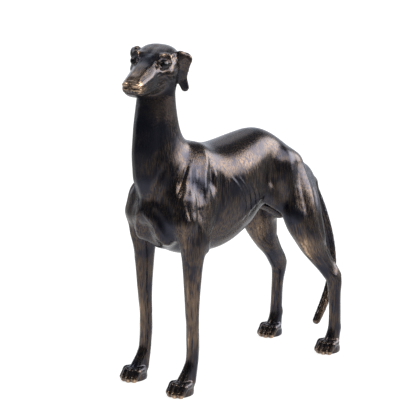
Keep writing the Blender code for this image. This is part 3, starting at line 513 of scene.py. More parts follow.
FINE_BODY = [
    (0.0034, 0.0010, [(0.071, 0.165, 0.459), (0.073, 0.182, 0.439), (0.072, 0.198, 0.414), (0.069, 0.208, 0.387), (0.062, 0.206, 0.360)]),
    (0.0034, -0.0010, [(0.072, 0.176, 0.457), (0.073, 0.194, 0.435), (0.072, 0.209, 0.410), (0.068, 0.218, 0.384), (0.062, 0.218, 0.358)]),
    (0.0034, 0.0012, [(0.072, 0.189, 0.454), (0.073, 0.207, 0.431), (0.070, 0.220, 0.406), (0.065, 0.228, 0.381), (0.060, 0.228, 0.360)]),
    (0.0032, -0.0012, [(0.073, 0.199, 0.452), (0.072, 0.218, 0.429), (0.068, 0.231, 0.404), (0.064, 0.236, 0.381)]),
    (0.0032, 0.0012, [(0.073, 0.210, 0.448), (0.070, 0.229, 0.427), (0.066, 0.242, 0.402), (0.062, 0.244, 0.380)]),
    (0.0030, -0.0012, [(0.072, 0.221, 0.446), (0.069, 0.239, 0.424), (0.064, 0.251, 0.400), (0.061, 0.253, 0.382)]),
    (0.0030, 0.0010, [(0.070, 0.232, 0.442), (0.066, 0.249, 0.419), (0.062, 0.259, 0.398), (0.059, 0.262, 0.385)]),
    (0.0046, 0.0005, [(0.070, 0.140, 0.440), (0.074, 0.158, 0.410), (0.073, 0.172, 0.375), (0.066, 0.178, 0.345)]),
    (0.0046, 0.0004, [(0.072, 0.130, 0.420), (0.074, 0.140, 0.385), (0.070, 0.150, 0.350), (0.062, 0.155, 0.325)]),
    (0.0025, -0.0007, [(0.058, 0.052, 0.500), (0.072, 0.043, 0.470), (0.080, 0.034, 0.440), (0.086, 0.028, 0.400)]),
    (0.0025, 0.0006, [(0.062, 0.062, 0.502), (0.076, 0.055, 0.470), (0.083, 0.050, 0.435), (0.089, 0.046, 0.400)]),
    (0.0025, -0.0006, [(0.066, 0.076, 0.495), (0.080, 0.068, 0.462), (0.086, 0.066, 0.430), (0.092, 0.062, 0.395)]),
    (0.0028, 0.0006, [(0.068, 0.010, 0.450), (0.084, -0.002, 0.420), (0.092, 0.004, 0.380), (0.094, 0.014, 0.345)]),
    (0.0028, -0.0007, [(0.074, 0.010, 0.450), (0.090, 0.012, 0.410), (0.096, 0.018, 0.370), (0.096, 0.026, 0.330)]),
    (0.0030, -0.0007, [(0.096, 0.052, 0.400), (0.100, 0.058, 0.365), (0.098, 0.062, 0.335)]),
    (0.0028, 0.0006, [(0.028, -0.032, 0.400), (0.040, -0.014, 0.364), (0.045, 0.008, 0.338)]),
    (0.0030, -0.0006, [(0.014, -0.044, 0.470), (0.010, -0.042, 0.430), (0.004, -0.040, 0.405)]),
    (0.0026, 0.0012, [(0.084, 0.030, 0.300), (0.082, 0.022, 0.240), (0.079, 0.024, 0.170), (0.077, 0.026, 0.120), (0.076, 0.022, 0.070)]),  # tendons of the fore leg
    (0.0024, -0.0010, [(0.092, 0.036, 0.290), (0.088, 0.034, 0.220), (0.087, 0.038, 0.150)]),
    (0.0026, -0.0012, [(0.0890, 0.052, 0.150), (0.0890, 0.048, 0.080)]),
    (0.0026, -0.0012, [(0.0630, 0.052, 0.150), (0.0630, 0.048, 0.080)]),
    (0.0026, 0.0014, [(0.090, 0.500, 0.170), (0.094, 0.503, 0.120), (0.095, 0.502, 0.070)]),   # tendon of the hind leg
    (0.0024, -0.0010, [(0.1045, 0.490, 0.160), (0.1060, 0.492, 0.110), (0.1070, 0.490, 0.060)]),
    (0.0024, -0.0010, [(0.0800, 0.490, 0.160), (0.0810, 0.492, 0.110), (0.0820, 0.490, 0.060)]),
    (0.0030, 0.0010, [(0.100, 0.420, 0.300), (0.099, 0.444, 0.262), (0.098, 0.466, 0.225)]),
    (0.0030, -0.0010, [(0.098, 0.400, 0.300), (0.096, 0.424, 0.262), (0.094, 0.448, 0.226)]),
    (0.0030, -0.0009, [(0.086, 0.362, 0.440), (0.096, 0.360, 0.400), (0.103, 0.366, 0.350)]),
    (0.0022, 0.0010, [(0.014, 0.305, 0.370), (0.017, 0.340, 0.358), (0.018, 0.380, 0.340)]),   # folds of the groin
    (0.0022, -0.0012, [(0.018, 0.300, 0.378), (0.022, 0.335, 0.368), (0.024, 0.372, 0.352)]),
    (0.0022, 0.0010, [(0.024, 0.292, 0.382), (0.028, 0.328, 0.376), (0.032, 0.362, 0.362)]),
]
CLAW = [Rope([(1.03 * x, y - 0.0315, 0.0115), (1.05 * x, y - 0.0375, 0.0050)], [0.0027, 0.0014]) for x, y in TOES]
EAR_FALL = EAR_LINE[:4] + [(0.0465, 0.034, -0.033), (0.0540, 0.034, -0.0545)]
EAR_CORE = Rope(EAR_FALL, [0.0115, 0.0140, 0.0156, 0.0140, 0.0124, 0.0104], 0.004, 0.70, EAR_FACE)
EAR_FLAP = Rope(EAR_FALL, [0.0110, 0.0135, 0.0150, 0.0130, 0.0112, 0.0088], 0.004, EAR_FLAT, EAR_FACE)


def eyed_distance(q):
    f = skull_distance(q) - relief(q, HEAD_STROKES)
    f = hollow(f, SOCKET.distance(q), 0.004)
    return blend(f, EYE.distance(q), 0.0012)


FINE_BODY_STROKES = draped(FINE_BODY, body_distance)
FINE_HEAD_STROKES = draped(FINE_HEAD, eyed_distance)


def fine_distance(p):
    m = p.copy()
    m[:, 0] = np.abs(m[:, 0])
    f = BODY[0][0].distance(m)
    for shape, k, both in BODY[1:]:
        f = blend(f, shape.distance(m if both else p), k)
    f = f - relief(m, BODY_STROKES) - relief(m, FINE_BODY_STROKES)
    for place in (PAW_FORE, PAW_HIND):
        near = (m[:, 2] < 0.085) & (np.abs(m[:, 1] - place[1]) < 0.075)
        if near.any():
            q = m[near] - np.array((place[0], place[1], 0.0))
            g = PAW[0][0].distance(q)
            for shape, k in PAW[1:]:
                g = blend(g, shape.distance(q), k)
            for shape in CLAW:
                g = blend(g, shape.distance(q), 0.0012)
            f[near] = blend(f[near], g, 0.010)
    near = (p[:, 2] > 0.60)
    if near.any():
        q = (p[near] - np.array(HEAD_CENTRE)) @ HEAD_AXES
        q[:, 0] = np.abs(q[:, 0])
        g = SKULL[0][0].distance(q)
        for shape, k in SKULL[1:]:
            g = blend(g, shape.distance(q), k)
        bevel = 0.72 * q[:, 0] + 0.69 * q[:, 2] - EDGE(q[:, 1])[:, 0] - 0.0014
        g = hollow(g, -bevel, 0.0022) - relief(q, HEAD_STROKES)
        g = hollow(g, SOCKET.distance(q), 0.004)
        g = blend(g, EYE.distance(q), 0.0012) - relief(q, FINE_HEAD_STROKES)
        g = blend(g, hollow(EAR_FLAP.distance(q), EAR_CUP.distance(q), 0.002), 0.005)
        f[near] = blend(f[near], g, 0.016)
    return f


# ------------------------------------------------------------------ mesh
def skin(bm, rings, place):
    """Loft a closed tube through rings; place carries each point to the dog."""
    rows = [[bm.verts.new(place(np.array(q))) for q in ring] for ring in rings]
    for a, b in zip(rows[:-1], rows[1:]):
        for i in range(len(a)):
            j = (i + 1) % len(a)
            bm.faces.new((a[i], a[j], b[j], b[i]))
    bm.faces.new(rows[0][::-1])
    bm.faces.new(rows[-1])


def rough_body():
    bm = bmesh.new()
    sides = (1.0, -1.0)
    axes, centre = HEAD_AXES, np.array(HEAD_CENTRE)
    for shape, _, both in BODY:
        for s in sides if both else (1.0,):
            skin(bm, shape.rings(), lambda q, s=s: q * (s, 1, 1))
    for shape, _ in SKULL + [(EYE, 0), (EAR_CORE, 0)]:
        for s in sides:
            skin(bm, shape.rings(), lambda q, s=s: centre + axes @ (q * (s, 1, 1)))
    for place in (PAW_FORE, PAW_HIND):
        for shape, _ in PAW:
            for s in sides:
                skin(bm, shape.rings(), lambda q, s=s: (q + (place[0], place[1], 0.0)) * (s, 1, 1))
    bmesh.ops.recalc_face_normals(bm, faces=bm.faces)
    mesh = bpy.data.meshes.new("greyhound_cast")
    bm.to_mesh(mesh)
    bm.free()
    obj = bpy.data.objects.new("greyhound_cast", mesh)
    bpy.context.scene.collection.objects.link(obj)
    return obj


def use(obj, kind, **values):
    """Add a modifier and make its result the mesh of the object."""
    modifier = obj.modifiers.new(kind.title(), kind)
    for key, value in values.items():
        setattr(modifier, key, value)
    done = bpy.data.meshes.new_from_object(obj.evaluated_get(bpy.context.evaluated_depsgraph_get()))
    obj.modifiers.clear()
    obj.data = done


def arrays(mesh):
    points = np.empty(len(mesh.vertices) * 3)
    mesh.vertices.foreach_get("co", points)
    edges = np.empty(len(mesh.edges) * 2, int)
    mesh.edges.foreach_get("vertices", edges)
    return points.reshape(-1, 3), edges.reshape(-1, 2)


def averaged(values, edges):
    """Mean over the neighbours of each point."""
    a, b = edges.T
    n = len(values)
    count = np.maximum(np.bincount(a, minlength=n) + np.bincount(b, minlength=n), 1)
    if values.ndim == 1:
        return (np.bincount(a, values[b], n) + np.bincount(b, values[a], n)) / count
    return np.stack([averaged(values[:, k], edges) for k in range(values.shape[1])], 1)


def carve(mesh, steps, share=0.55, where=None):
    """Bring the surface onto the form, keeping its points evenly spread."""
    points, edges = arrays(mesh)
    if where is None:
        for rounds in steps:
            points = settle((1 - share) * points + share * averaged(points, edges), rounds, fine_distance, 0.004)
    else:
        chosen = where(points)
        for rounds in steps:
            mean = averaged(points, edges)
            points[chosen] = settle((1 - share) * points[chosen] + share * mean[chosen], rounds, fine_distance, 0.004)
    mesh.vertices.foreach_set("co", points.ravel())
    mesh.update()


def refine(mesh, where):
    """Split every triangle in a region in four, with clean borders."""
    bm = bmesh.new()
    bm.from_mesh(mesh)
    bmesh.ops.triangulate(bm, faces=bm.faces)
    bm.verts.ensure_lookup_table()
    inside = where(np.array([v.co for v in bm.verts]))
    edges = [e for e in bm.edges if inside[e.verts[0].index] and inside[e.verts[1].index]]
    bmesh.ops.subdivide_edges(bm, edges=edges, cuts=1, use_grid_fill=False)
    bmesh.ops.triangulate(bm, faces=[f for f in bm.faces if len(f.verts) > 3])
    bm.to_mesh(mesh)
    bm.free()


def on_head(p):
    q = (p - np.array(HEAD_CENTRE)) @ HEAD_AXES
    return (np.abs(q[:, 0]) < 0.085) & (q[:, 1] > -0.165) & (q[:, 1] < 0.072) & (q[:, 2] > -0.078) & (q[:, 2] < 0.06)


def on_face(p):
    q = (p - np.array(HEAD_CENTRE)) @ HEAD_AXES
    eyes = (np.abs(np.abs(q[:, 0]) - 0.0335) < 0.016) & (np.abs(q[:, 1] + 0.036) < 0.017) & (np.abs(q[:, 2] - 0.022) < 0.018)
    nose = (q[:, 1] < -0.126) & (np.abs(q[:, 2]) < 0.03) & (np.abs(q[:, 0]) < 0.03)
    return eyes | nose


def on_paws(p):
    near = np.zeros(len(p), bool)
    for place in (PAW_FORE, PAW_HIND):
        near |= (p[:, 2] < 0.040) & (np.abs(p[:, 1] + 0.004 - place[1]) < 0.048) & (np.abs(np.abs(p[:, 0]) - place[0]) < 0.035)
    return near


def on_toes(p):
    near = np.zeros(len(p), bool)
    for place in (PAW_FORE, PAW_HIND):
        near |= (p[:, 2] < 0.036) & (p[:, 1] < place[1] + 0.012) & (p[:, 1] > place[1] - 0.050) & (np.abs(np.abs(p[:, 0]) - place[0]) < 0.035)
    return near


def on_muscles(p):
    m = np.abs(p[:, 0])
    shoulder = (m > 0.030) & (p[:, 1] < 0.125) & (p[:, 2] > 0.315) & (p[:, 2] < 0.515)
    ribs = (m > 0.045) & (p[:, 1] > 0.135) & (p[:, 1] < 0.275) & (p[:, 2] > 0.355) & (p[:, 2] < 0.465)
    breast = (p[:, 1] < 0.020) & (p[:, 2] > 0.315) & (p[:, 2] < 0.43)
    groin = (m < 0.050) & (p[:, 1] > 0.28) & (p[:, 1] < 0.40) & (p[:, 2] > 0.32) & (p[:, 2] < 0.40)
    hock = (p[:, 1] > 0.43) & (p[:, 2] > 0.165) & (p[:, 2] < 0.26) & (m > 0.055)
    return shoulder | ribs | breast | groin | hock


def first(p):
    return on_head(p) | on_paws(p) | on_muscles(p)


def second(p):
    return on_face(p) | on_toes(p)


def cast_mesh():
    dog = rough_body()
    use(dog, "REMESH", mode="VOXEL", voxel_size=0.0054, adaptivity=0.0)
    mesh = dog.data
    carve(mesh, (2, 2, 2))
    refine(mesh, first)
    carve(mesh, (2, 2, 1), 0.5, first)
    refine(mesh, second)
    carve(mesh, (2, 2), 0.4, second)

    # flat soles on the ground
    points, edges = arrays(mesh)
    points[:, 2] = np.maximum(points[:, 2], 0.0)
    mesh.vertices.foreach_set("co", points.ravel())
    mesh.update()
    return dog, points, edges


# ------------------------------------------------------------------ where the patina is rubbed, and where highlights are painted
RUBBED_AND_HIGHLIT = [  # width, strength, line on the left side, mirrored
    (0.014, 0.60, [(0.058, 0.033, 0.494), (0.061, 0.021, 0.464), (0.076, 0.003, 0.436), (0.083, -0.001, 0.394), (0.089, 0.005, 0.355), (0.094, 0.016, 0.310)]),
    (0.011, 0.30, [(0.040, 0.068, 0.530), (0.067, 0.062, 0.502), (0.079, 0.066, 0.471)]),
    (0.010, 0.25, [(0.036, 0.102, 0.528), (0.062, 0.097, 0.508), (0.078, 0.082, 0.479)]),
    (0.012, 0.45, [(0.088, 0.077, 0.430), (0.090, 0.080, 0.386), (0.096, 0.066, 0.340)]),
    (0.018, 0.62, [(0.078, 0.014, 0.290), (0.076, 0.018, 0.212), (0.073, 0.024, 0.120), (0.072, 0.018, 0.050)]),
    (0.014, 0.50, [(0.096, 0.040, 0.290), (0.092, 0.040, 0.200), (0.090, 0.040, 0.100)]),
    (0.022, 0.80, [(0.092, 0.362, 0.305), (0.093, 0.392, 0.265), (0.089, 0.421, 0.230)]),
    (0.016, 0.40, [(0.088, 0.392, 0.390), (0.100, 0.405, 0.330), (0.100, 0.430, 0.270)]),
    (0.026, 0.75, [(0.045, 0.350, 0.330), (0.050, 0.385, 0.290), (0.058, 0.410, 0.250)]),
    (0.016, 0.60, [(0.094, 0.465, 0.150), (0.094, 0.466, 0.060)]),
    (0.0060, 1.50, [(0.040, 0.533, 0.150), (0.044, 0.507, 0.102), (0.0455, 0.480, 0.062)]),     # painted highlight: bright bronze strip down the lower tail
    (0.030, 0.15, [(0.060, 0.120, 0.490), (0.066, 0.180, 0.480), (0.060, 0.220, 0.495)]),
    # painted highlight: extra bronze across the loin, where the flank catches the soft box
    (0.030, 0.36, [(0.060, 0.190, 0.500), (0.064, 0.225, 0.478), (0.062, 0.255, 0.450), (0.060, 0.275, 0.415)]),
    (0.035, 0.22, [(0.070, 0.150, 0.410), (0.066, 0.170, 0.350), (0.062, 0.200, 0.335)]),
    (0.020, 0.10, [(0.030, 0.050, 0.640), (0.033, 0.052, 0.590), (0.036, 0.060, 0.545)]),
    (0.030, 0.28, [(0.020, 0.110, 0.534), (0.020, 0.200, 0.531), (0.020, 0.300, 0.541)]),
    (0.020, 0.12, [(0.034, 0.380, 0.500), (0.050, 0.420, 0.440), (0.060, 0.440, 0.380)]),
    (0.012, 0.30, [(0.006, -0.038, 0.404), (0.024, -0.031, 0.388), (0.031, -0.012, 0.358), (0.037, 0.014, 0.331)]),
]
RUBBED_HEAD = [
    (0.012, 1.10, [(0.000, -0.146, 0.010), (0.017, -0.138, 0.006), (0.020, -0.128, -0.006)]),
    (0.013, 0.85, [(0.000, -0.150, 0.010), (0.004, -0.128, 0.020), (0.006, -0.105, 0.024), (0.006, -0.080, 0.028)]),
    (0.008, 1.00, [(0.017, -0.027, 0.039), (0.026, -0.028, 0.040), (0.035, -0.028, 0.038)]),
    (0.009, 0.60, [(0.042, -0.026, 0.036), (0.044, -0.014, 0.032)]),
    (0.007, 0.70, [(0.018, -0.146, 0.000), (0.026, -0.128, -0.004), (0.029, -0.108, -0.006)]),
    (0.005, 0.60, [(0.043, 0.014, 0.029), (0.053, 0.022, 0.027), (0.064, 0.033, 0.010)]),
]


def normals_of(mesh):
    out = np.empty(len(mesh.vertices) * 3)
    mesh.vertices.foreach_get("normal", out)
    return out.reshape(-1, 3)


def crest(points, normals, reach=0.0045):
    """How sharply the form falls away around a point: over 0 on crests, under 0 in grooves."""
    side = np.cross(normals, (0.31, 0.17, 0.93))
    side /= np.linalg.norm(side, axis=1)[:, None]
    other = np.cross(normals, side)
    fall = sum(fine_distance(points + reach * way) for way in (side, -side, other, -other)) / 4
    return np.clip(fall / 0.0011, -1.5, 1.5)


def store(mesh, name, values):
    kind = "FLOAT" if values.ndim == 1 else "FLOAT_VECTOR"
    layer = mesh.attributes.new(name, kind, "POINT")
    layer.data.foreach_set("value" if values.ndim == 1 else "vector", values.astype(np.float32).ravel())


def lay_patina(mesh, points, edges):
    m = points.copy()
    m[:, 0] = np.abs(m[:, 0])
    normals = normals_of(mesh)
    q = (points - np.array(HEAD_CENTRE)) @ HEAD_AXES
    face = on_head(points).astype(float)
    for _ in range(12):
        face = averaged(face, edges)
    qm = q.copy()
    qm[:, 0] = np.abs(qm[:, 0])
    wear_and_highlight = relief(m, RUBBED_AND_HIGHLIT) + relief(qm, RUBBED_HEAD)
    normals = normals / np.linalg.norm(normals, axis=1)[:, None]
    paws = np.clip((0.034 - points[:, 2]) / 0.02, 0, 1) * np.clip(((0.0 + np.where(m[:, 1] > 0.25, 0.470, 0.008)) - m[:, 1]) / 0.03, 0, 1)
    wear_and_highlight = np.clip(wear_and_highlight + 0.65 * paws, 0, 1)
    high = crest(points, normals)

    # brush lines: high across the stroke, low along it; they follow the limbs and the muzzle
    hind = spline(HIND)(points[:, 2])
    fore = spline(FORE)(points[:, 2])
    leg = np.clip((0.40 - points[:, 2]) / 0.06, 0, 1)
    rear = np.clip((m[:, 1] - 0.30) / 0.06, 0, 1)
    yc = leg * (rear * (hind[:, 1] - 0.40) + (1 - rear) * np.clip((0.12 - m[:, 1]) / 0.06, 0, 1) * (fore[:, 1] - 0.04))
    grain = np.stack([points[:, 0], points[:, 1] - yc, points[:, 2] * 0.085], 1)
    grain_head = np.stack([q[:, 0], q[:, 1] * 0.16, q[:, 2]], 1) + 0.5
    grain = grain * (1 - face)[:, None] + grain_head * face[:, None]
    store(mesh, "wear_and_highlight", wear_and_highlight)
    store(mesh, "eye", np.clip(1.4 - np.abs(EYE.distance(qm)) / 0.0006, 0, 1))
    store(mesh, "crest", high)
    store(mesh, "grain", grain)


# ------------------------------------------------------------------ bronze
COAT_DARK = (0.025, 0.026, 0.039)
COAT_BROWN = (0.098, 0.071, 0.053)
METAL_DULL = (0.20, 0.138, 0.096)
METAL_BRIGHT = (0.72, 0.50, 0.34)


def node(tree, kind, place, **values):
    made = tree.nodes.new(kind)
    made.location = place
    for key, value in values.items():
        setattr(made, key, value)
    return made


def attribute(tree, name, place):
    return node(tree, "ShaderNodeAttribute", place, attribute_name=name)


def noise(tree, source, scale, detail, rough, place):
    made = node(tree, "ShaderNodeTexNoise", place)
    made.inputs["Scale"].default_value = scale
    made.inputs["Detail"].default_value = detail
    made.inputs["Roughness"].default_value = rough
    tree.links.new(source, made.inputs["Vector"])
    return made.outputs["Fac"]


def ramp(tree, source, lo, hi, place, a=0.0, b=1.0):
    made = node(tree, "ShaderNodeMapRange", place, interpolation_type="SMOOTHSTEP")
    made.inputs["From Min"].default_value = lo
    made.inputs["From Max"].default_value = hi
    made.inputs["To Min"].default_value = a
    made.inputs["To Max"].default_value = b
    tree.links.new(source, made.inputs["Value"])
    return made.outputs["Result"]


def sums(tree, kind, a, b, place):
    made = node(tree, "ShaderNodeMath", place, operation=kind)
    for socket, value in zip(made.inputs, (a, b)):
        if isinstance(value, (int, float)):
            socket.default_value = value
        else:
            tree.links.new(value, socket)
    return made.outputs[0]


def mixed(tree, factor, a, b, place):
    made = node(tree, "ShaderNodeMix", place, data_type="RGBA")
    tree.links.new(factor, made.inputs["Factor"])
    for socket, value in ((made.inputs["A"], a), (made.inputs["B"], b)):
        if isinstance(value, tuple):
            socket.default_value = (*value, 1.0)
        else:
            tree.links.new(value, socket)
    return made.outputs["Result"]


def patina():
    material = bpy.data.materials.new("patinated_bronze")
    material.use_nodes = True
    tree = material.node_tree
    surface = tree.nodes["Principled BSDF"]
    surface.location = (900, 0)
    grain = attribute(tree, "grain", (-1500, 0)).outputs["Vector"]
    wear_and_highlight = attribute(tree, "wear_and_highlight", (-1500, -300)).outputs["Fac"]
    high = attribute(tree, "crest", (-1500, -600)).outputs["Fac"]
    eye = attribute(tree, "eye", (-1500, -900)).outputs["Fac"]
    space = node(tree, "ShaderNodeTexCoord", (-1500, 300)).outputs["Object"]

    streak = noise(tree, grain, 420.0, 3.0, 0.62, (-1200, 200))          # single brush lines
    stroke = noise(tree, grain, 130.0, 2.0, 0.55, (-1200, 0))             # broader strokes
    cloud = noise(tree, space, 16.0, 3.0, 0.55, (-1200, 400))            # uneven patina
    speck = noise(tree, space, 700.0, 2.0, 0.6, (-1200, 600))

    # dark coat: blue-black, going to brown where the brush has been and under the painted highlight strips
    worked_and_highlit = sums(tree, "ADD", cloud, sums(tree, "MULTIPLY", wear_and_highlight, 0.45, (-1150, 500)), (-1050, 450))
    brown = sums(tree, "MULTIPLY", ramp(tree, streak, 0.38, 0.62, (-950, 200)), ramp(tree, worked_and_highlit, 0.38, 0.60, (-950, 400)), (-750, 300))
    coat = mixed(tree, brown, COAT_DARK, COAT_BROWN, (-550, 300))

    # rubbed bronze on the raised forms, and painted highlight strips on the tail and loin, broken up into lines
    raised_and_highlit = sums(tree, "ADD", sums(tree, "MULTIPLY", wear_and_highlight, 0.80, (-950, -400)), ramp(tree, high, 0.35, 1.10, (-950, -600), 0.0, 0.42), (-750, -450))
    broken = sums(tree, "ADD", sums(tree, "MULTIPLY", streak, 0.9, (-750, 0)), sums(tree, "MULTIPLY", stroke, 0.7, (-750, -150)), (-550, -50))
    level = sums(tree, "SUBTRACT", sums(tree, "ADD", raised_and_highlit, broken, (-350, -250)), 1.0, (-200, -250))
    worn_and_highlit = ramp(tree, level, 0.02, 0.62, (0, -250))
    bright = ramp(tree, level, 0.40, 0.95, (0, -450))
    metal = mixed(tree, bright, METAL_DULL, METAL_BRIGHT, (200, -350))
    colour = mixed(tree, worn_and_highlit, coat, metal, (450, 100))
    colour = mixed(tree, eye, colour, (0.03, 0.03, 0.035), (650, 100))
    tree.links.new(colour, surface.inputs["Base Color"])
    surface.inputs["Metallic"].default_value = 1.0
    wear_rough = sums(tree, "ADD", ramp(tree, streak, 0.30, 0.75, (200, -600), 0.14, 0.33), ramp(tree, speck, 0.4, 0.8, (200, -750), 0.0, 0.05), (450, -650))
    matt = sums(tree, "SUBTRACT", 1.0, sums(tree, "MULTIPLY", eye, 0.75, (450, -550)), (600, -550))
    tree.links.new(sums(tree, "MULTIPLY", wear_rough, matt, (750, -600)), surface.inputs["Roughness"])
    surface.inputs["Coat Weight"].default_value = 0.25
    surface.inputs["Coat Roughness"].default_value = 0.22
    surface.inputs["Coat IOR"].default_value = 1.5

    bump = node(tree, "ShaderNodeBump", (650, -450))
    bump.inputs["Strength"].default_value = 0.50
    bump.inputs["Distance"].default_value = 0.0006
    tree.links.new(sums(tree, "ADD", streak, sums(tree, "MULTIPLY", speck, 0.12, (200, -900)), (450, -850)), bump.inputs["Height"])
    tree.links.new(bump.outputs["Normal"], surface.inputs["Normal"])
    return material


# ------------------------------------------------------------------ studio
def area_light(name, towards, distance, size, radiance, colour=(1.0, 1.0, 1.0), target=(0.0, -0.02, 0.40)):
    """Soft box whose surface has the given radiance."""
    data = bpy.data.lights.new(name, "AREA")
    data.shape = "RECTANGLE"
    data.size, data.size_y = size
    data.energy = radiance * math.pi * size[0] * size[1]
    data.color = colour
    lamp = bpy.data.objects.new(name, data)
    bpy.context.scene.collection.objects.link(lamp)
    way = Vector(towards).normalized()
    lamp.location = Vector(target) + way * distance
    lamp.rotation_mode = "QUATERNION"
    lamp.rotation_quaternion = way.to_track_quat("Z", "Y")
    return lamp


def turned_way(azimuth, elevation):
    """Direction seen from the dog; azimuth 0 is in front of its face and 90 is on its left."""
    a, e = math.radians(azimuth), math.radians(elevation)
    return (math.sin(a) * math.cos(e), -math.cos(a) * math.cos(e), math.sin(e))


def soft_box(tree, way, light, row):
    """Radiance of a large soft box far away: an even oval that fades out at its rim."""
    azimuth, elevation, wide, high, fade, radiance = light
    out = Vector(turned_way(azimuth, elevation))
    side = Vector((0.0, 0.0, 1.0)).cross(out).normalized()
    parts = []
    for k, (axis, reach) in enumerate(((side, wide), (out.cross(side), high))):
        along = node(tree, "ShaderNodeVectorMath", (-1500, row - 150 * k), operation="DOT_PRODUCT")
        tree.links.new(way, along.inputs[0])
        along.inputs[1].default_value = axis / math.sin(math.radians(reach))
        parts.append(sums(tree, "MULTIPLY", along.outputs["Value"], along.outputs["Value"], (-1300, row - 150 * k)))
    front = node(tree, "ShaderNodeVectorMath", (-1500, row - 300), operation="DOT_PRODUCT")
    tree.links.new(way, front.inputs[0])
    front.inputs[1].default_value = out
    ahead = sums(tree, "GREATER_THAN", front.outputs["Value"], 0.0, (-1300, row - 300))
    spread = sums(tree, "ADD", parts[0], parts[1], (-1150, row))
    glow = ramp(tree, spread, (1 - fade) ** 2, (1 + fade) ** 2, (-1000, row), radiance, 0.0)
    return sums(tree, "MULTIPLY", glow, ahead, (-850, row))


ROOM = 0.15      # radiance of the dim room around
FLOOR_PAINTED_GLOW = 0.72   # and of the painted pool of light on the floor close to the statue
SOFT_BOXES = [  # azimuth, elevation, half-width, half-height, fading rim, radiance
    (149.0, 20.0, 25.0, 15.5, 0.32, 7.4),
    (106.0, 36.0, 19.0, 12.0, 0.40, 4.6),
]


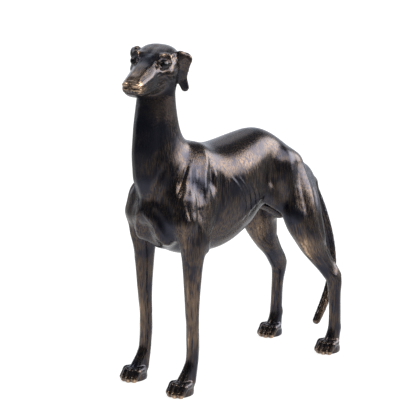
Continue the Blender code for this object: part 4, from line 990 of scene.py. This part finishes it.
def studio():
    scene = bpy.context.scene
    world = bpy.data.worlds.new("studio")
    scene.world = world
    world.use_nodes = True
    tree = world.node_tree
    back = tree.nodes["Background"]
    ray = node(tree, "ShaderNodeLightPath", (-900, 300)).outputs["Is Camera Ray"]
    way = node(tree, "ShaderNodeTexCoord", (-1800, 0)).outputs["Generated"]
    facing = node(tree, "ShaderNodeVectorMath", (-900, 0), operation="DOT_PRODUCT")
    tree.links.new(way, facing.inputs[0])
    facing.inputs[1].default_value = (-0.72, 0.69, -0.05)
    behind = ramp(tree, facing.outputs["Value"], 0.25, 0.80, (-700, 0), ROOM, 0.90)
    height = node(tree, "ShaderNodeSeparateXYZ", (-900, -300))
    tree.links.new(way, height.inputs[0])
    below = ramp(tree, height.outputs["Z"], 0.25, 0.80, (-700, -300), 1.0, 0.25)
    behind = sums(tree, "MULTIPLY", behind, below, (-550, -100))
    ceiling = ramp(tree, height.outputs["Z"], 0.62, 0.86, (-700, -450), 0.0, 0.22)
    behind = sums(tree, "ADD", behind, ceiling, (-480, -150))
    strength = sums(tree, "MAXIMUM", behind, ray, (-400, 100))
    tree.links.new(strength, back.inputs["Strength"])
    tree.links.new(mixed(tree, ray, (0.84, 0.89, 1.0), (1.0, 1.0, 1.0), (-400, 300)), back.inputs["Color"])
    glow = 0.0
    for k, light in enumerate(SOFT_BOXES):
        glow = sums(tree, "ADD", soft_box(tree, way, light, -600 - 500 * k), glow, (-600, -600 - 500 * k))
    unseen = sums(tree, "SUBTRACT", 1.0, ray, (-600, -450))
    boxes = node(tree, "ShaderNodeBackground", (-200, -400))
    boxes.inputs["Color"].default_value = (1.0, 0.965, 0.925, 1.0)
    tree.links.new(sums(tree, "MULTIPLY", glow, unseen, (-400, -500)), boxes.inputs["Strength"])
    both = node(tree, "ShaderNodeAddShader", (100, 0))
    tree.links.new(back.outputs[0], both.inputs[0])
    tree.links.new(boxes.outputs[0], both.inputs[1])
    tree.links.new(both.outputs[0], tree.nodes["World Output"].inputs["Surface"])

    bm = bmesh.new()
    bmesh.ops.create_circle(bm, cap_ends=True, segments=96, radius=9.0)
    mesh = bpy.data.meshes.new("floor")
    bm.to_mesh(mesh)
    bm.free()
    floor = bpy.data.objects.new("floor", mesh)
    scene.collection.objects.link(floor)
    plain = bpy.data.materials.new("pale_floor")
    plain.use_nodes = True
    surface = plain.node_tree.nodes["Principled BSDF"]
    surface.inputs["Base Color"].default_value = (0.32, 0.32, 0.32, 1.0)
    surface.inputs["Roughness"].default_value = 0.9
    surface.inputs["Specular IOR Level"].default_value = 0.0
    surface.inputs["Emission Color"].default_value = (1.0, 1.0, 1.0, 1.0)
    ray = node(plain.node_tree, "ShaderNodeLightPath", (-600, 0)).outputs["Is Camera Ray"]
    where = node(plain.node_tree, "ShaderNodeTexCoord", (-900, -200)).outputs["Object"]
    far = node(plain.node_tree, "ShaderNodeVectorMath", (-700, -200), operation="LENGTH")
    plain.node_tree.links.new(where, far.inputs[0])
    # painted pool of light: the floor glows brighter near the statue for every ray but the camera's
    painted_glow = ramp(plain.node_tree, far.outputs["Value"], 0.5, 1.7, (-500, -200), FLOOR_PAINTED_GLOW, 0.10)
    glow = sums(plain.node_tree, "MAXIMUM", painted_glow, sums(plain.node_tree, "MULTIPLY", ray, 0.90, (-450, 0)), (-250, 0))
    plain.node_tree.links.new(glow, surface.inputs["Emission Strength"])
    mesh.materials.append(plain)

    area_light("front_box", turned_way(-42, 48), 2.8, (0.9, 0.9), 4.8, (1.0, 0.98, 0.96))
    area_light("back_top_box", turned_way(-135, 50), 2.8, (1.6, 1.2), 0.8, (0.90, 0.92, 1.0))

    camera_data = bpy.data.cameras.new("camera")
    camera_data.sensor_width = 36.0
    camera_data.sensor_fit = "HORIZONTAL"
    camera_data.lens = 147.82
    camera_data.clip_start, camera_data.clip_end = 0.1, 60.0
    camera = bpy.data.objects.new("camera", camera_data)
    scene.collection.objects.link(camera)
    a, e = math.radians(45.5485), math.radians(12.8718)
    back_way = Vector((math.sin(a) * math.cos(e), -math.cos(a) * math.cos(e), math.sin(e)))
    camera.location = Vector((0.0, 0.16118 + SHIFT[1], 0.38086)) + 3.8 * back_way
    camera.rotation_mode = "QUATERNION"
    camera.rotation_quaternion = back_way.to_track_quat("Z", "Y")
    scene.camera = camera
    scene.view_settings.view_transform = "Standard"


# ------------------------------------------------------------------ all together
dog, skin_points, skin_edges = cast_mesh()
lay_patina(dog.data, skin_points, skin_edges)
dog.data.transform(Matrix.Translation((SHIFT[0], SHIFT[1], 0.0)))
dog.data.polygons.foreach_set("use_smooth", [True] * len(dog.data.polygons))
dog.data.materials.clear()
dog.data.materials.append(patina())
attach(dog, "root")
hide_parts("greyhound")
studio()

print("triangles", sum(len(f.vertices) - 2 for f in dog.data.polygons))
